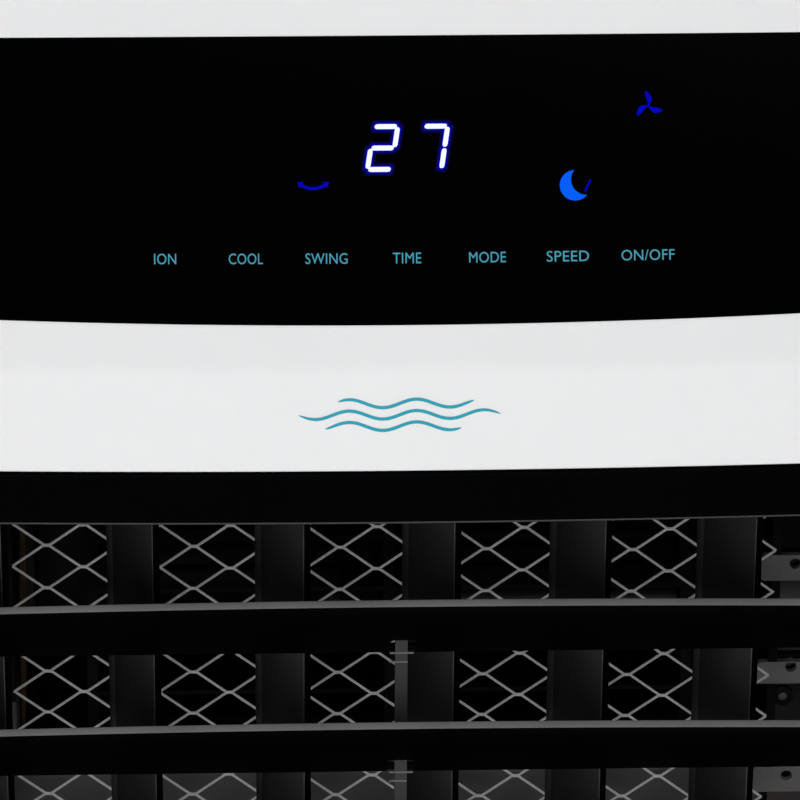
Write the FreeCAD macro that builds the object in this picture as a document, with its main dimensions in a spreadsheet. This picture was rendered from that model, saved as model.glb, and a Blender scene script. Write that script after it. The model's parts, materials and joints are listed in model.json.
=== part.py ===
import FreeCAD, Part
import math
import os
import re
import Sketcher
from FreeCAD import Placement, Rotation, Vector

# Household evaporative cooler: a wheeled cabinet that draws air through a wet pad at the back
# with a drum blower and sends it out at the front through swinging vanes and tilting louvres.
# Frame: +X right, +Y into the cabinet from its front, +Z up, origin under the middle on the floor.

SIZES = {
    # cabinet
    "width": 320, "depth": 330, "height": 690, "wall": 2.5, "bend_radius": 2630,
    "floor_gap": 50, "tray_thick": 7, "side_back": 150, "gap": 0.3,
    # upper front, from the outlet upwards
    "outlet_low": 336, "band_low": 566, "band_rise": 25.8, "band_lean": 13, "panel_lean": 30,
    "crease_rise": 11.6, "glass_rise": 73, "glass_thick": 1.6, "glass_half": 138,
    "fascia_wall": 3, "fascia_half": 157.2, "edge_setback": 5, "top_round": 40, "lid_front": -60,
    # air outlet
    "mouth_half": 138, "mouth_low": 350, "mouth_high": 552, "sleeve_wall": 3.5, "sleeve_back": -106,
    # tilting louvres
    "louvre_chord": 32, "louvre_thick": 2, "louvre_half": 137.3, "louvre_tilt": 49,
    "louvre_y": -149, "louvre_top": 514.35, "louvre_pitch": 35.3, "louvre_pin": 2.4,
    "link_reach": 14, "notch_half": 3.45, "notch_start": 7.6, "rod_half": 1.6, "link_pin": 1,
    "running_gap": 0.05,
    # swinging vanes
    "vane_pitch": 39.2, "vane_offset": 3.5, "vane_y": -102, "vane_length": 30, "vane_thick": 2.1,
    "vane_turn": 22.6, "vane_low": 356, "vane_high": 550, "vane_pin": 2, "crank_reach": 20, "bar_low": 351.3,
    "bar_high": 354.3, "crank_pin": 1.5,
    # guard mesh
    "mesh_y": -80, "mesh_thick": 0.8, "mesh_half": 103, "cell_wide": 19.8, "cell_tall": 12.75,
    "strand": 0.8,
    # blower
    "wheel_y": 10, "wheel_z": 440, "wheel_radius": 70, "wheel_half": 84, "scroll_half": 103,
    "scroll_start": 112, "scroll_end": 78, "scroll_wall": 2.5, "inlet_radius": 56, "shaft_radius": 4,
    "motor_radius": 40, "motor_start": 108.5, "motor_length": 38, "lug_pitch": 31.6,
    # rear
    "rear_wall": 3, "pad_half": 117, "pad_low": 212, "pad_high": 632, "pad_front": 114,
    "grille_half": 126, "grille_low": 204, "grille_high": 640, "grille_thick": 7,
    # tank
    "tank_half": 140, "tank_low": 57.6, "tank_high": 160, "tank_front": -120, "tank_wall": 2.5,
    "door_half": 146, "door_high": 171, "door_thick": 8,
    # casters
    "caster_x": 115, "caster_y": 115, "stem_radius": 4, "tyre_radius": 18, "tyre_half": 7,
    "caster_trail": 12, "axle_radius": 3,
}

doc = FreeCAD.newDocument("evaporative_cooler")
sheet = doc.addObject("Spreadsheet::Sheet", "Sizes")
for row, (alias, number) in enumerate(SIZES.items(), start=1):
    sheet.set("A%d" % row, alias)
    sheet.set("B%d" % row, str(number))
    sheet.setAlias("B%d" % row, alias)
doc.recompute()
sub_parts = []


# ---------------------------------------------------------------- helpers
def cells(text):
    """The expression with each size's name turned into a reference to its cell."""
    return re.sub(r"[a-z]\w+", lambda w: "Sizes." + w[0] if w[0] in SIZES else w[0], str(text))


def value(text):
    """The number that an expression gives at the sheet's present sizes."""
    result = sheet.evalExpression(cells(text))
    return float(getattr(result, "Value", result))


def bind(thing, name, text):
    thing.setExpression(name, cells(text))


def place(thing, x="0", y="0", z="0"):
    for letter, text in zip("xyz", (x, y, z)):
        bind(thing, "Placement.Base." + letter, text)
    return thing


def turn(thing, axis, angle):
    thing.Placement = Placement(Vector(), Rotation(axis, 1))
    bind(thing, "Placement.Rotation.Angle", angle)
    return thing


def block(x, y, z, name="block"):
    """A box between low and high corners, each given as a pair of expressions."""
    box = doc.addObject("Part::Box", name)
    for side, (low, high) in zip(("Length", "Width", "Height"), (x, y, z)):
        bind(box, side, "(%s) - (%s)" % (high, low))
    return place(box, x[0], y[0], z[0])


AIM = {
    "x": Rotation(Vector(0, 1, 0), 90),
    "y": Rotation(Vector(1, 0, 0), -90),
    "z": Rotation(),
}


def rod(along, start, radius, length, name="rod"):
    """A cylinder from a start point along +X, +Y or +Z."""
    can = doc.addObject("Part::Cylinder", name)
    can.Placement = Placement(Vector(), AIM[along])
    bind(can, "Radius", radius)
    bind(can, "Height", length)
    return place(can, *start)


def named(label, thing):
    """Marks an object of the document as a finished sub-part."""
    thing.Label = label
    sub_parts.append(thing)
    return thing


def fuse(*solids, name="union"):
    union = doc.addObject("Part::MultiFuse", name)
    union.Shapes = list(solids)
    return union


def group(*solids, name="group"):
    """Separate solids kept as one object."""
    compound = doc.addObject("Part::Compound", name)
    compound.Links = list(solids)
    return compound


def cut(base, *tools, name="cut"):
    result = doc.addObject("Part::Cut", name)
    result.Base = base
    result.Tool = tools[0] if len(tools) == 1 else fuse(*tools)
    return result


def common(first, second, name="common"):
    result = doc.addObject("Part::Common", name)
    result.Base = first
    result.Tool = second
    return result


def rounded(base, radius, chosen, name="rounded"):
    """Part::Fillet on the edges that chosen picks."""
    doc.recompute()
    fillet = doc.addObject("Part::Fillet", name)
    fillet.Base = base
    size = value(radius)
    numbers = [n for n, edge in enumerate(base.Shape.Edges, start=1) if chosen(edge)]
    fillet.Edges = [(n, size, size) for n in numbers]
    return fillet


def runs_along(edge, axis):
    """True for a straight edge along the given axis."""
    if len(edge.Vertexes) != 2 or edge.Curve.TypeId != "Part::GeomLine":
        return False
    return abs(abs(edge.Curve.Direction.dot(axis)) - 1) < 1e-6


def polygon(body, role, corners, shift="0", offset="0", name="outline"):
    """A closed sketch on one of the body's own planes; every corner is bound to the sheet."""
    plane = [feature for feature in body.Origin.OriginFeatures if feature.Role == role][0]
    sketch = body.newObject("Sketcher::SketchObject", name)
    sketch.AttachmentSupport = [(plane, "")]
    sketch.MapMode = "FlatFace"
    bind(sketch, "AttachmentOffset.Base.x", shift)
    bind(sketch, "AttachmentOffset.Base.z", offset)
    corners = [("(%s) - (%s)" % (across, shift), up) for across, up in corners]
    points = [Vector(value(across), value(up), 0) for across, up in corners]
    for start, end in zip(points, points[1:] + points[:1]):
        sketch.addGeometry(Part.LineSegment(start, end))
    for index in range(len(points)):
        following = (index + 1) % len(points)
        sketch.addConstraint(Sketcher.Constraint("Coincident", index, 2, following, 1))
    for index, (point, corner) in enumerate(zip(points, corners)):
        for kind, number, text, axis in (("DistanceX", point.x, corner[0], -2),
                                         ("DistanceY", point.y, corner[1], -1)):
            if abs(number) < 1e-9:
                sketch.addConstraint(Sketcher.Constraint("PointOnObject", index, 1, axis))
            else:
                rule = Sketcher.Constraint(kind, -1, 1, index, 1, number)
                bind(sketch, "Constraints[%d]" % sketch.addConstraint(rule), text)
    return sketch


def across_slab(label, corners, start, end):
    """A body padded along +X from a side outline of (y, z) corners."""
    body = doc.addObject("PartDesign::Body", label)
    sketch = polygon(body, "YZ_Plane", corners, offset=start)
    pad = body.newObject("PartDesign::Pad", "Pad")
    pad.Profile = sketch
    bind(pad, "Length", "(%s) - (%s)" % (end, start))
    return body


def bowed(label, corners, half):
    """A body bowed in plan like the cabinet's front: its side outline turned about a far axis."""
    body = doc.addObject("PartDesign::Body", label)
    sketch = polygon(body, "YZ_Plane", corners, shift="bend_radius - depth / 2")
    turned = body.newObject("PartDesign::Revolution", "Bow")
    turned.Profile = sketch
    turned.ReferenceAxis = (sketch, ["V_Axis"])
    turned.Midplane = True
    bind(turned, "Angle", "2 * asin((%s) / bend_radius)" % half)
    return body


def extruded(label, points, start, end, holes=()):
    """A wall of constant section along X whose outline is computed from the sheet."""
    wires = [Part.makePolygon([Vector(value(start), y, z) for y, z in points + points[:1]])]
    wires += list(holes)
    solid = Part.Face(wires, "Part::FaceMakerBullseye").extrude(Vector(value(end) - value(start), 0, 0))
    feature = doc.addObject("Part::Feature", label)
    feature.Shape = solid
    return feature


# ---------------------------------------------------------------- upper front outline
def along(point, length, lean, inward="0"):
    """A point further up a line that leans back from vertical, and set in from it."""
    y, z = point
    return ("%s + %s * sin(%s) + %s * cos(%s)" % (y, length, lean, inward, lean),
            "%s + %s * cos(%s) - %s * sin(%s)" % (z, length, lean, inward, lean))


def mitre(point, low_lean, high_lean, inward):
    """The inner corner of a wall that changes its lean at a point."""
    middle = "((%s + %s) / 2)" % (low_lean, high_lean)
    half = "((%s - %s) / 2)" % (high_lean, low_lean)
    return along(point, "0", middle, "%s / cos%s" % (inward, half))


BAND_FOOT = ("-depth / 2", "band_low")
CREASE = along(BAND_FOOT, "band_rise", "band_lean")
GLASS_FOOT = along(CREASE, "crease_rise", "panel_lean")
GLASS_HEAD = along(GLASS_FOOT, "glass_rise", "panel_lean")
TO_TOP = "((height - (%s)) / cos(panel_lean))" % CREASE[1]
BROW = along(CREASE, TO_TOP, "panel_lean")
BROW_STEP = "(90 - panel_lean) / 3"
BROW_LEANS = ["(panel_lean + %d * %s)" % (step, BROW_STEP) for step in range(4)]
FACET = "(top_round * tan(%s / 2))" % BROW_STEP


def brow_corners():
    """Outer corners of the brow: three short facets that follow its round."""
    point = along(BROW, "-(top_round * tan((90 - panel_lean) / 2)) + " + FACET, "panel_lean")
    corners = [point]
    for lean in BROW_LEANS[1:3]:
        point = along(point, "2 * " + FACET, lean)
        corners.append(point)
    return corners


def panel_quad(inward_low, inward_high, trim="0"):
    """A strip behind the sloping panel between the glass's two edges, at two depths."""
    foot = along(GLASS_FOOT, trim, "panel_lean", inward_low)
    head = along(GLASS_HEAD, "-(%s)" % trim, "panel_lean", inward_low)
    head_in = along(GLASS_HEAD, "-(%s)" % trim, "panel_lean", inward_high)
    foot_in = along(GLASS_FOOT, trim, "panel_lean", inward_high)
    return [foot, head, head_in, foot_in]


def control_fascia():
    """White moulding of the band below the display, the display's surround and the brow."""
    brow = brow_corners()
    inner_brow = [
        mitre(corner, BROW_LEANS[step], BROW_LEANS[step + 1], "fascia_wall")
        for step, corner in enumerate(brow)
    ]
    section = [
        BAND_FOOT, CREASE, *brow, ("lid_front", "height"), ("lid_front", "height - fascia_wall"),
        *reversed(inner_brow), mitre(CREASE, "band_lean", "panel_lean", "fascia_wall"),
        ("-depth / 2 + fascia_wall / cos(band_lean)", "band_low"),
    ]
    blank = bowed("fascia_shell", section, "fascia_half * 1.08")
    square = block(("-fascia_half", "fascia_half"), ("-depth / 2 - 5", "lid_front"),
                   ("band_low - 1", "height + 1"))
    shell = common(blank, square)
    recess = bowed("glass_recess", panel_quad("-2", "glass_thick"), "glass_half")
    led_window = bowed("led_window", panel_quad("0", "fascia_wall + 2", "glass_rise * 0.28"), "20")
    named("control_fascia", cut(shell, recess, led_window))
    named("display_glass", bowed("display_glass_body", panel_quad("0", "glass_thick", "0.2"),
                                 "glass_half - 0.3"))


def display_board():
    """Touch and display board behind the glass, with its two-digit LED block."""
    board = bowed("touch_board", panel_quad("fascia_wall + 5", "fascia_wall + 6.6", "3"), "120")
    block_quad = panel_quad("glass_thick + 0.4", "fascia_wall + 5", "glass_rise * 0.31")
    named("display_board", fuse(board, bowed("led_block", block_quad, "17")))


# ---------------------------------------------------------------- cabinet
def base_tray():
    deck = block(("-150", "150"), ("-148", "side_back"),
                 ("floor_gap", "floor_gap + tray_thick"))
    holes = [
        rod("z", ("%s * caster_x" % right, "%s * caster_y" % back, "floor_gap - 1"),
            "stem_radius + running_gap", "tray_thick + 2")
        for right in (-1, 1) for back in (-1, 1)
    ]
    named("base_tray", cut(deck, *holes))


GRIP = {"half": "46", "low": "520", "high": "556", "deep": "24"}


def side_panel(label, outer, inner, cup):
    """Flat side wall with a moulded hand grip that opens outwards."""
    low, high = sorted((outer, inner), key=value)
    front = [("-depth / 2", "floor_gap + tray_thick"), BAND_FOOT, CREASE, *brow_corners()]
    section = [("%s + edge_setback" % y, z) for y, z in front]
    section += [("side_back", "height"), ("side_back", "floor_gap + tray_thick")]
    sheet_wall = across_slab(label + "_wall", section, low, high)
    cup_low, cup_high = sorted((cup, inner), key=value)
    cup_box = block((cup_low, cup_high), ("-%(half)s" % GRIP, GRIP["half"]),
                    (GRIP["low"], GRIP["high"]))
    pull_low, pull_high = sorted(("%s + wall * %d" % (cup, -1 if value(outer) < 0 else 1),
                                  "%s + %d" % (outer, 1 if value(outer) > 0 else -1)), key=value)
    hollow = block((pull_low, pull_high), ("wall - %(half)s" % GRIP, "%(half)s - wall" % GRIP),
                   ("%(low)s + wall" % GRIP, "%(high)s - wall" % GRIP))
    named(label, cut(fuse(sheet_wall, cup_box), hollow))


def top_cover():
    lid = block(("-fascia_half", "fascia_half"), ("lid_front + 0.2", "side_back"),
                ("height - 3", "height"))
    dish = block(("-130", "130"), ("lid_front + 25", "side_back - 25"),
                 ("height - 1.2", "height + 1"))
    named("top_cover", cut(lid, dish))


def outlet_frame():
    """Black moulding around the air outlet: face plate and the sleeve behind it."""
    face = bowed("outlet_face", [("-depth / 2", "outlet_low"), ("-depth / 2", "band_low"),
                                 ("-depth / 2 + 3", "band_low"), ("-depth / 2 + 3", "outlet_low")],
                 "fascia_half")
    sleeve = block(("-mouth_half - sleeve_wall", "mouth_half + sleeve_wall"),
                   ("-depth / 2 + 4.5", "sleeve_back"),
                   ("mouth_low - sleeve_wall", "mouth_high + sleeve_wall"))
    mouth = block(("-mouth_half", "mouth_half"), ("-depth / 2 - 5", "sleeve_back + 5"),
                  ("mouth_low", "mouth_high"))
    pivots = [
        rod("x", ("-mouth_half - sleeve_wall - 1", "louvre_y", louvre_height(number)),
            "louvre_pin + running_gap", "2 * mouth_half + 2 * sleeve_wall + 2")
        for number in range(LOUVRES)
    ]
    named("outlet_frame", cut(fuse(face, sleeve), mouth, *pivots))


def front_lower_panel():
    panel = bowed("lower_front", [("-depth / 2", "floor_gap + tray_thick"),
                                  ("-depth / 2", "outlet_low"), ("wall - depth / 2", "outlet_low"),
                                  ("wall - depth / 2", "floor_gap + tray_thick")], "fascia_half")
    slot = block(("110", "124"), ("-depth / 2 - 1", "-depth / 2 + 8"), ("84", "156"))
    named("front_lower_panel", cut(panel, slot))
    named("water_level_window",
          block(("110.2", "123.8"), ("-depth / 2 + 1.9", "-depth / 2 + 4.9"), ("84.2", "155.8")))


def rear_frame():
    plate = block(("-fascia_half", "fascia_half"), ("side_back", "side_back + rear_wall"),
                  ("floor_gap + tray_thick", "height"))
    pad_bay = block(("-pad_half - 3", "pad_half + 3"), ("side_back - 1", "side_back + 8"),
                    ("pad_low - 3", "pad_high + 3"))
    tank_bay = block(("-tank_half - 1", "tank_half + 1"), ("side_back - 1", "side_back + 8"),
                     ("floor_gap", "tank_high + 2"))
    pivot = rod("y", ("0", "side_back - 1", "door_high + 11"), "3 + running_gap", "8")
    lead_hole = rod("y", ("135", "side_back - 1", "190"), "5", "8")
    screws = [rod("y", (x, "side_back - 1", z), "2", "8") for x, z in SCREWS]
    named("rear_frame", cut(plate, pad_bay, tank_bay, pivot, lead_hole, *screws))


SCREWS = [("%d * 148" % side, height) for side in (-1, 1) for height in ("190", "330", "500", "670")]


def case_screws():
    """Pan-head screws that hold the rear frame to the side panels."""
    screws = []
    for x, z in SCREWS:
        head = rod("y", (x, "side_back + rear_wall", z), "3.8", "2.2")
        shank = rod("y", (x, "side_back - 9", z), "1.9", "9 + rear_wall")
        screws.append(fuse(head, shank))
    named("case_screws", group(*screws))


def cord_gland():
    """Clamping gland of the supply lead, low on the rear frame."""
    flange = rod("y", ("135", "side_back + rear_wall", "190"), "8", "3")
    nose = rod("y", ("135", "side_back - 6", "190"), "4.9", "6 + rear_wall + 9")
    lead_bore = rod("y", ("135", "side_back - 8", "190"), "3.4", "24")
    named("cord_gland", cut(fuse(flange, nose), lead_bore))


# ---------------------------------------------------------------- louvres
LOUVRES = 5


def louvre_height(number):
    return "(louvre_top - %d * louvre_pitch)" % number


def louvre(number):
    """Blade with a bowed front edge, end pins and a notch with a cross pin for the link."""
    blade = block(("-louvre_half", "louvre_half"), ("-louvre_chord / 2", "louvre_chord / 2"),
                  ("-louvre_thick / 2", "louvre_thick / 2"))
    drum = rod("z", ("0", "bend_radius - louvre_chord / 2", "-5"), "bend_radius", "10")
    notch = block(("-notch_half", "notch_half"), ("notch_start", "louvre_chord"), ("-5", "5"))
    pins = rod("x", ("-mouth_half - sleeve_wall", "0", "0"), "louvre_pin",
               "2 * mouth_half + 2 * sleeve_wall")
    middle = block(("-louvre_half + 8", "louvre_half - 8"), ("-5", "5"), ("-5", "5"))
    cross = rod("x", ("-notch_half", "link_reach", "0"), "link_pin", "2 * notch_half")
    blank = cut(common(blade, drum), notch)
    part = fuse(blank, cut(pins, middle), cross, name="louvre")
    turn(part, Vector(1, 0, 0), "-louvre_tilt")
    named("louvre_%d" % (number + 1), place(part, "0", "louvre_y", louvre_height(number)))


def louvre_link():
    """Straight rod that ties the louvres' rear pins together."""
    pin_y = "louvre_y + link_reach * cos(louvre_tilt)"
    drop = "link_reach * sin(louvre_tilt)"
    bar = block(("-rod_half", "rod_half"), ("%s - 2.2" % pin_y, "%s + 2.2" % pin_y),
                ("%s - %s - 3.5" % (louvre_height(LOUVRES - 1), drop),
                 "%s - %s + 3.5" % (louvre_height(0), drop)))
    holes = [
        rod("x", ("-5", pin_y, "%s - %s" % (louvre_height(number), drop)),
            "link_pin + running_gap", "10")
        for number in range(LOUVRES)
    ]
    named("louvre_link", cut(bar, *holes))


# ---------------------------------------------------------------- vanes
VANES = 7


def vane_x(number):
    return "(%d * vane_pitch + vane_offset)" % (number - VANES // 2)


def vane(number):
    """Upright blade that turns about its rear edge, with end pins and a crank pin below."""
    blade = block(("-vane_thick / 2", "vane_thick / 2"), ("-vane_length", "0"),
                  ("vane_low", "vane_high"))
    spine = rod("z", ("0", "0", "mouth_low - 5"), "vane_pin", "mouth_high - mouth_low + 10")
    crank = rod("z", ("0", "-crank_reach", "bar_low"), "crank_pin", "vane_low - bar_low + 1")
    boss = rod("z", ("0", "-crank_reach", "vane_low - 1.4"), "crank_pin + 1", "3")
    part = fuse(blade, spine, crank, boss, name="vane")
    turn(part, Vector(0, 0, 1), "vane_turn")
    named("vane_%d" % (number + 1), place(part, vane_x(number), "vane_y", "0"))


def vane_link():
    """Flat bar under the vanes that ties their crank pins together."""
    aside = "crank_reach * sin(vane_turn)"
    pin_y = "(vane_y - crank_reach * cos(vane_turn))"
    bar = block(("%s + %s - 4" % (vane_x(0), aside), "%s + %s + 4" % (vane_x(VANES - 1), aside)),
                ("%s - 3.5" % pin_y, "%s + 3.5" % pin_y), ("bar_low", "bar_high"))
    holes = [
        rod("z", ("%s + %s" % (vane_x(number), aside), pin_y, "bar_low - 1"),
            "crank_pin + running_gap", "10")
        for number in range(VANES)
    ]
    named("vane_link", cut(bar, *holes))


def vane_frame():
    """Ring behind the sleeve with the vanes' upper and lower pivot holes."""
    outer = block(("-mouth_half - sleeve_wall", "mouth_half + sleeve_wall"),
                  ("vane_y - 4", "mesh_y"), ("mouth_low - 8", "mouth_high + 8"))
    inner = block(("-mouth_half", "mouth_half"), ("vane_y - 6", "mesh_y + 2"),
                  ("mouth_low", "mouth_high"))
    holes = [
        rod("z", (vane_x(number), "vane_y", "mouth_low - 9"), "vane_pin + running_gap",
            "mouth_high - mouth_low + 18")
        for number in range(VANES)
    ]
    named("vane_frame", cut(outer, inner, *holes))


def swing_motor():
    """Small stepper above the middle vane that swings all of them."""
    can = rod("z", ("vane_offset", "vane_y + 8", "mouth_high + 8"), "14", "17")
    ears = block(("vane_offset - 20", "vane_offset + 20"), ("vane_y + 4.5", "vane_y + 11.5"),
                 ("mouth_high + 8", "mouth_high + 9"))
    named("swing_motor", fuse(can, ears))


# ---------------------------------------------------------------- guard mesh
def guard_mesh():
    """Thin moulded diamond mesh between the vanes and the blower."""
    half, wide, tall = value("mesh_half"), value("cell_wide"), value("cell_tall")
    low, high = value("mouth_low"), value("mouth_high")
    front, thick = value("mesh_y"), value("mesh_thick")
    slope = math.atan2(tall, wide)
    in_x = value("strand") / (2 * math.sin(slope))
    in_z = value("strand") / (2 * math.cos(slope))
    edge = 1.5
    outer = Part.makePolygon([Vector(x, front, z) for x, z in
                              ((-half, low), (half, low), (half, high), (-half, high), (-half, low))])
    holes = []
    rows = int((high - low) / tall) * 2 + 2
    columns = int(2 * half / wide) * 2 + 2
    for row in range(rows):
        for column in range(columns):
            if (row + column) % 2:
                continue
            x = -half + column * wide / 2
            z = low + row * tall / 2
            reach_x = wide / 2 - in_x
            reach_z = tall / 2 - in_z
            if abs(x) + reach_x > half - edge or z - reach_z < low + edge or z + reach_z > high - edge:
                continue
            corners = ((x - reach_x, z), (x, z - reach_z), (x + reach_x, z), (x, z + reach_z))
            closed = [Vector(a, front, b) for a, b in corners + corners[:1]]
            holes.append(Part.makePolygon(closed))
    feature = doc.addObject("Part::Feature", "mesh_sheet")
    feature.Shape = Part.Face([outer] + holes, "Part::FaceMakerBullseye").extrude(Vector(0, thick, 0))
    named("guard_mesh", feature)


# ---------------------------------------------------------------- blower
def scroll_points(extra, steps=20):
    """Side outline of the blower housing: roof, spiral round the wheel and lower lip."""
    centre_y, centre_z = value("wheel_y"), value("wheel_z")
    start, end = value("scroll_start"), value("scroll_end")
    mouth_y = value("mesh_y + mesh_thick")
    points = [(mouth_y, centre_z + start + extra)]
    for step in range(steps + 1):
        angle = math.radians(265) * step / steps
        reach = start + (end - start) * step / steps + extra
        points.append((centre_y + reach * math.sin(angle), centre_z + reach * math.cos(angle)))
    points.append((mouth_y, points[-1][1] - extra * 0.2))
    return points


def inlet_ring(x):
    circle = Part.Circle(Vector(x, value("wheel_y"), value("wheel_z")), Vector(1, 0, 0),
                         value("inlet_radius"))
    return Part.Wire(circle.toShape())


def scroll_housing():
    """Spiral wall with the left cheek moulded on, and the separate right cheek."""
    inside = scroll_points(0)
    outside = scroll_points(value("scroll_wall"))
    spiral = extruded("spiral_wall", inside + outside[::-1], "-scroll_half", "scroll_half")
    left = extruded("left_cheek", outside, "-scroll_half - scroll_wall", "-scroll_half",
                    [inlet_ring(value("-scroll_half - scroll_wall"))])
    named("scroll_housing", fuse(spiral, left))
    cheek = extruded("right_cheek", outside, "scroll_half", "scroll_half + scroll_wall",
                     [inlet_ring(value("scroll_half"))])
    lugs = []
    for number in range(3):
        low = "426.4 + %d * lug_pitch" % number
        lug = block(("scroll_half", "scroll_half + 16"), ("mesh_y + 4", "mesh_y + 6.5"),
                    (low, low + " + 8.3"))
        hole = rod("y", ("scroll_half + 6", "mesh_y - 1", low + " + 5"), "1.8", "12")
        lugs.append(cut(lug, hole))
    named("scroll_cover", fuse(cheek, *lugs))


def blower_wheel():
    """Double-inlet drum wheel: hub disc, two end rings and forward-curved blades."""
    disc = rod("x", ("-1.5", "0", "0"), "wheel_radius - 1", "3")
    hub = rod("x", ("-12", "0", "0"), "12", "24")
    bore = rod("x", ("-20", "0", "0"), "shaft_radius", "40")
    rings = []
    for start in ("-wheel_half", "wheel_half - 3"):
        outer = rod("x", (start, "0", "0"), "wheel_radius", "3")
        inner = rod("x", ("%s - 1" % start, "0", "0"), "wheel_radius - 12", "5")
        rings.append(cut(outer, inner))
    blades = []
    count = 30
    for number in range(count):
        blade = block(("-wheel_half + 1", "wheel_half - 1"), ("-0.6", "0.6"),
                      ("wheel_radius - 11", "wheel_radius - 1"))
        blade.Placement = Placement(Vector(), Rotation(Vector(1, 0, 0), 360 * number / count))
        for letter in "xyz":
            blade.setExpression("Placement.Base." + letter, None)
        angle = math.radians(360 * number / count)
        foot = Vector(value("-wheel_half + 1"), -0.6, value("wheel_radius - 11"))
        blade.Placement.Base = Rotation(Vector(1, 0, 0), math.degrees(angle)).multVec(foot)
        blades.append(blade)
    wheel = cut(fuse(disc, hub, *rings, *blades), bore, name="wheel")
    named("blower_wheel", place(wheel, "0", "wheel_y", "wheel_z"))


def motor_shaft():
    named("motor_shaft", rod("x", ("-16", "wheel_y", "wheel_z"), "shaft_radius",
                             "16 + motor_start + motor_length - 4"))


def fan_motor():
    """Motor can at the right-hand inlet with its bearing bore, and the three-armed bracket."""
    can = rod("x", ("motor_start", "wheel_y", "wheel_z"), "motor_radius", "motor_length")
    nose = rod("x", ("motor_start + motor_length", "wheel_y", "wheel_z"), "12", "5")
    bore = rod("x", ("motor_start - 1", "wheel_y", "wheel_z"), "shaft_radius + running_gap",
               "motor_length - 2")
    named("fan_motor", cut(fuse(can, nose), bore))
    plate = rod("x", ("scroll_half + scroll_wall", "0", "0"), "30",
                "motor_start - scroll_half - scroll_wall")
    hole = rod("x", ("scroll_half", "0", "0"), "10", "10")
    arms = []
    for angle in (30, 150, 270):
        arm = block(("scroll_half + scroll_wall", "motor_start"), ("-5", "5"), ("20", "70"))
        turned = fuse(arm, rod("x", ("scroll_half + scroll_wall", "0", "66"), "8",
                               "motor_start - scroll_half - scroll_wall"))
        arms.append(turn(turned, Vector(1, 0, 0), str(angle)))
    bracket = cut(fuse(plate, *arms), hole, name="bracket")
    named("motor_bracket", place(bracket, "0", "wheel_y", "wheel_z"))


# ---------------------------------------------------------------- inside the cabinet
def electronics():
    """Deck above the blower with the main board, motor capacitor and ionizer."""
    named("electronics_deck", block(("-150", "150"), ("-60", "100"), ("582", "584.5")))
    board = block(("-100", "20"), ("0", "80"), ("590", "591.6"))
    posts = [rod("z", (x, y, "584.5"), "3", "5.5") for x in ("-94", "14") for y in ("6", "74")]
    relay = block(("-80", "-52"), ("20", "34"), ("591.6", "608"))
    transformer = block(("-40", "-6"), ("30", "62"), ("591.6", "616"))
    named("main_board", fuse(board, *posts, relay, transformer))
    named("run_capacitor", block(("50", "88"), ("10", "28"), ("584.5", "612")))
    body = block(("-132", "-104"), ("-40", "20"), ("584.5", "600"))
    needles = [rod("y", ("%d" % x, "-50", "592"), "0.8", "12") for x in (-123, -113)]
    named("ionizer_module", fuse(body, *needles))


def water_path():
    """Distribution tray over the pad, riser hose at the left and sloping drip shelf."""
    trough = block(("-pad_half", "pad_half"), ("pad_front - 4", "side_back - 2"), ("640", "660"))
    inside = block(("-pad_half + 2", "pad_half - 2"), ("pad_front - 2", "side_back - 4"),
                   ("642", "662"))
    drips = [
        rod("z", ("%d * 16" % number, "(pad_front + side_back) / 2", "638"), "1.5", "8")
        for number in range(-6, 7)
    ]
    named("water_tray", cut(trough, inside, *drips))
    upright = rod("z", ("-132", "132", "171.5"), "5", "500.5")
    across = rod("x", ("-137", "132", "672"), "5", "37")
    spout = rod("z", ("-105", "132", "652"), "5", "20")
    bore = rod("z", ("-132", "132", "170"), "3.5", "500")
    spout_bore = rod("z", ("-105", "132", "650"), "3.5", "20")
    named("riser_hose", cut(fuse(upright, across, spout), bore, spout_bore))
    shelf = across_slab("shelf_plate", [("100", "190"), ("148", "182"), ("148", "185"),
                                       ("100", "193")], "-125", "125")
    drain = rod("z", ("0", "140", "170"), "6", "30")
    named("drip_shelf", cut(shelf, drain))


# ---------------------------------------------------------------- rear panel
def rear_panel():
    """Lift-off grille with the dust filter, pad frame and cooling pad behind it."""
    face = ("side_back + rear_wall + gap", "side_back + rear_wall + grille_thick")
    plate = block(("-grille_half", "grille_half"), face, ("grille_low", "grille_high"))
    slots = []
    for column in (-1, 0, 1):
        for row in range(26):
            low = "grille_low + 14 + %d * 15.8" % row
            slots.append(block(("%d * 80 - 36" % column, "%d * 80 + 36" % column),
                               (face[0] + " - 1", face[1] + " + 1"), (low, low + " + 8.5")))
    slot_group = group(*slots)
    named("rear_grille", cut(plate, slot_group))
    named("dust_filter", block(("-pad_half", "pad_half"), ("side_back + 0.2", "side_back + 3"),
                               ("pad_low", "pad_high")))
    rim = block(("-pad_half", "pad_half"), ("pad_front", "side_back - 1"), ("pad_low", "pad_high"))
    hole = block(("-pad_half + 4", "pad_half - 4"), ("pad_front - 1", "side_back"),
                 ("pad_low + 4", "pad_high - 4"))
    named("pad_frame", cut(rim, hole))
    named("cooling_pad", block(("-pad_half + 4.2", "pad_half - 4.2"),
                               ("pad_front + 2", "side_back - 2"),
                               ("pad_low + 4.2", "pad_high - 4.2")))


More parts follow.
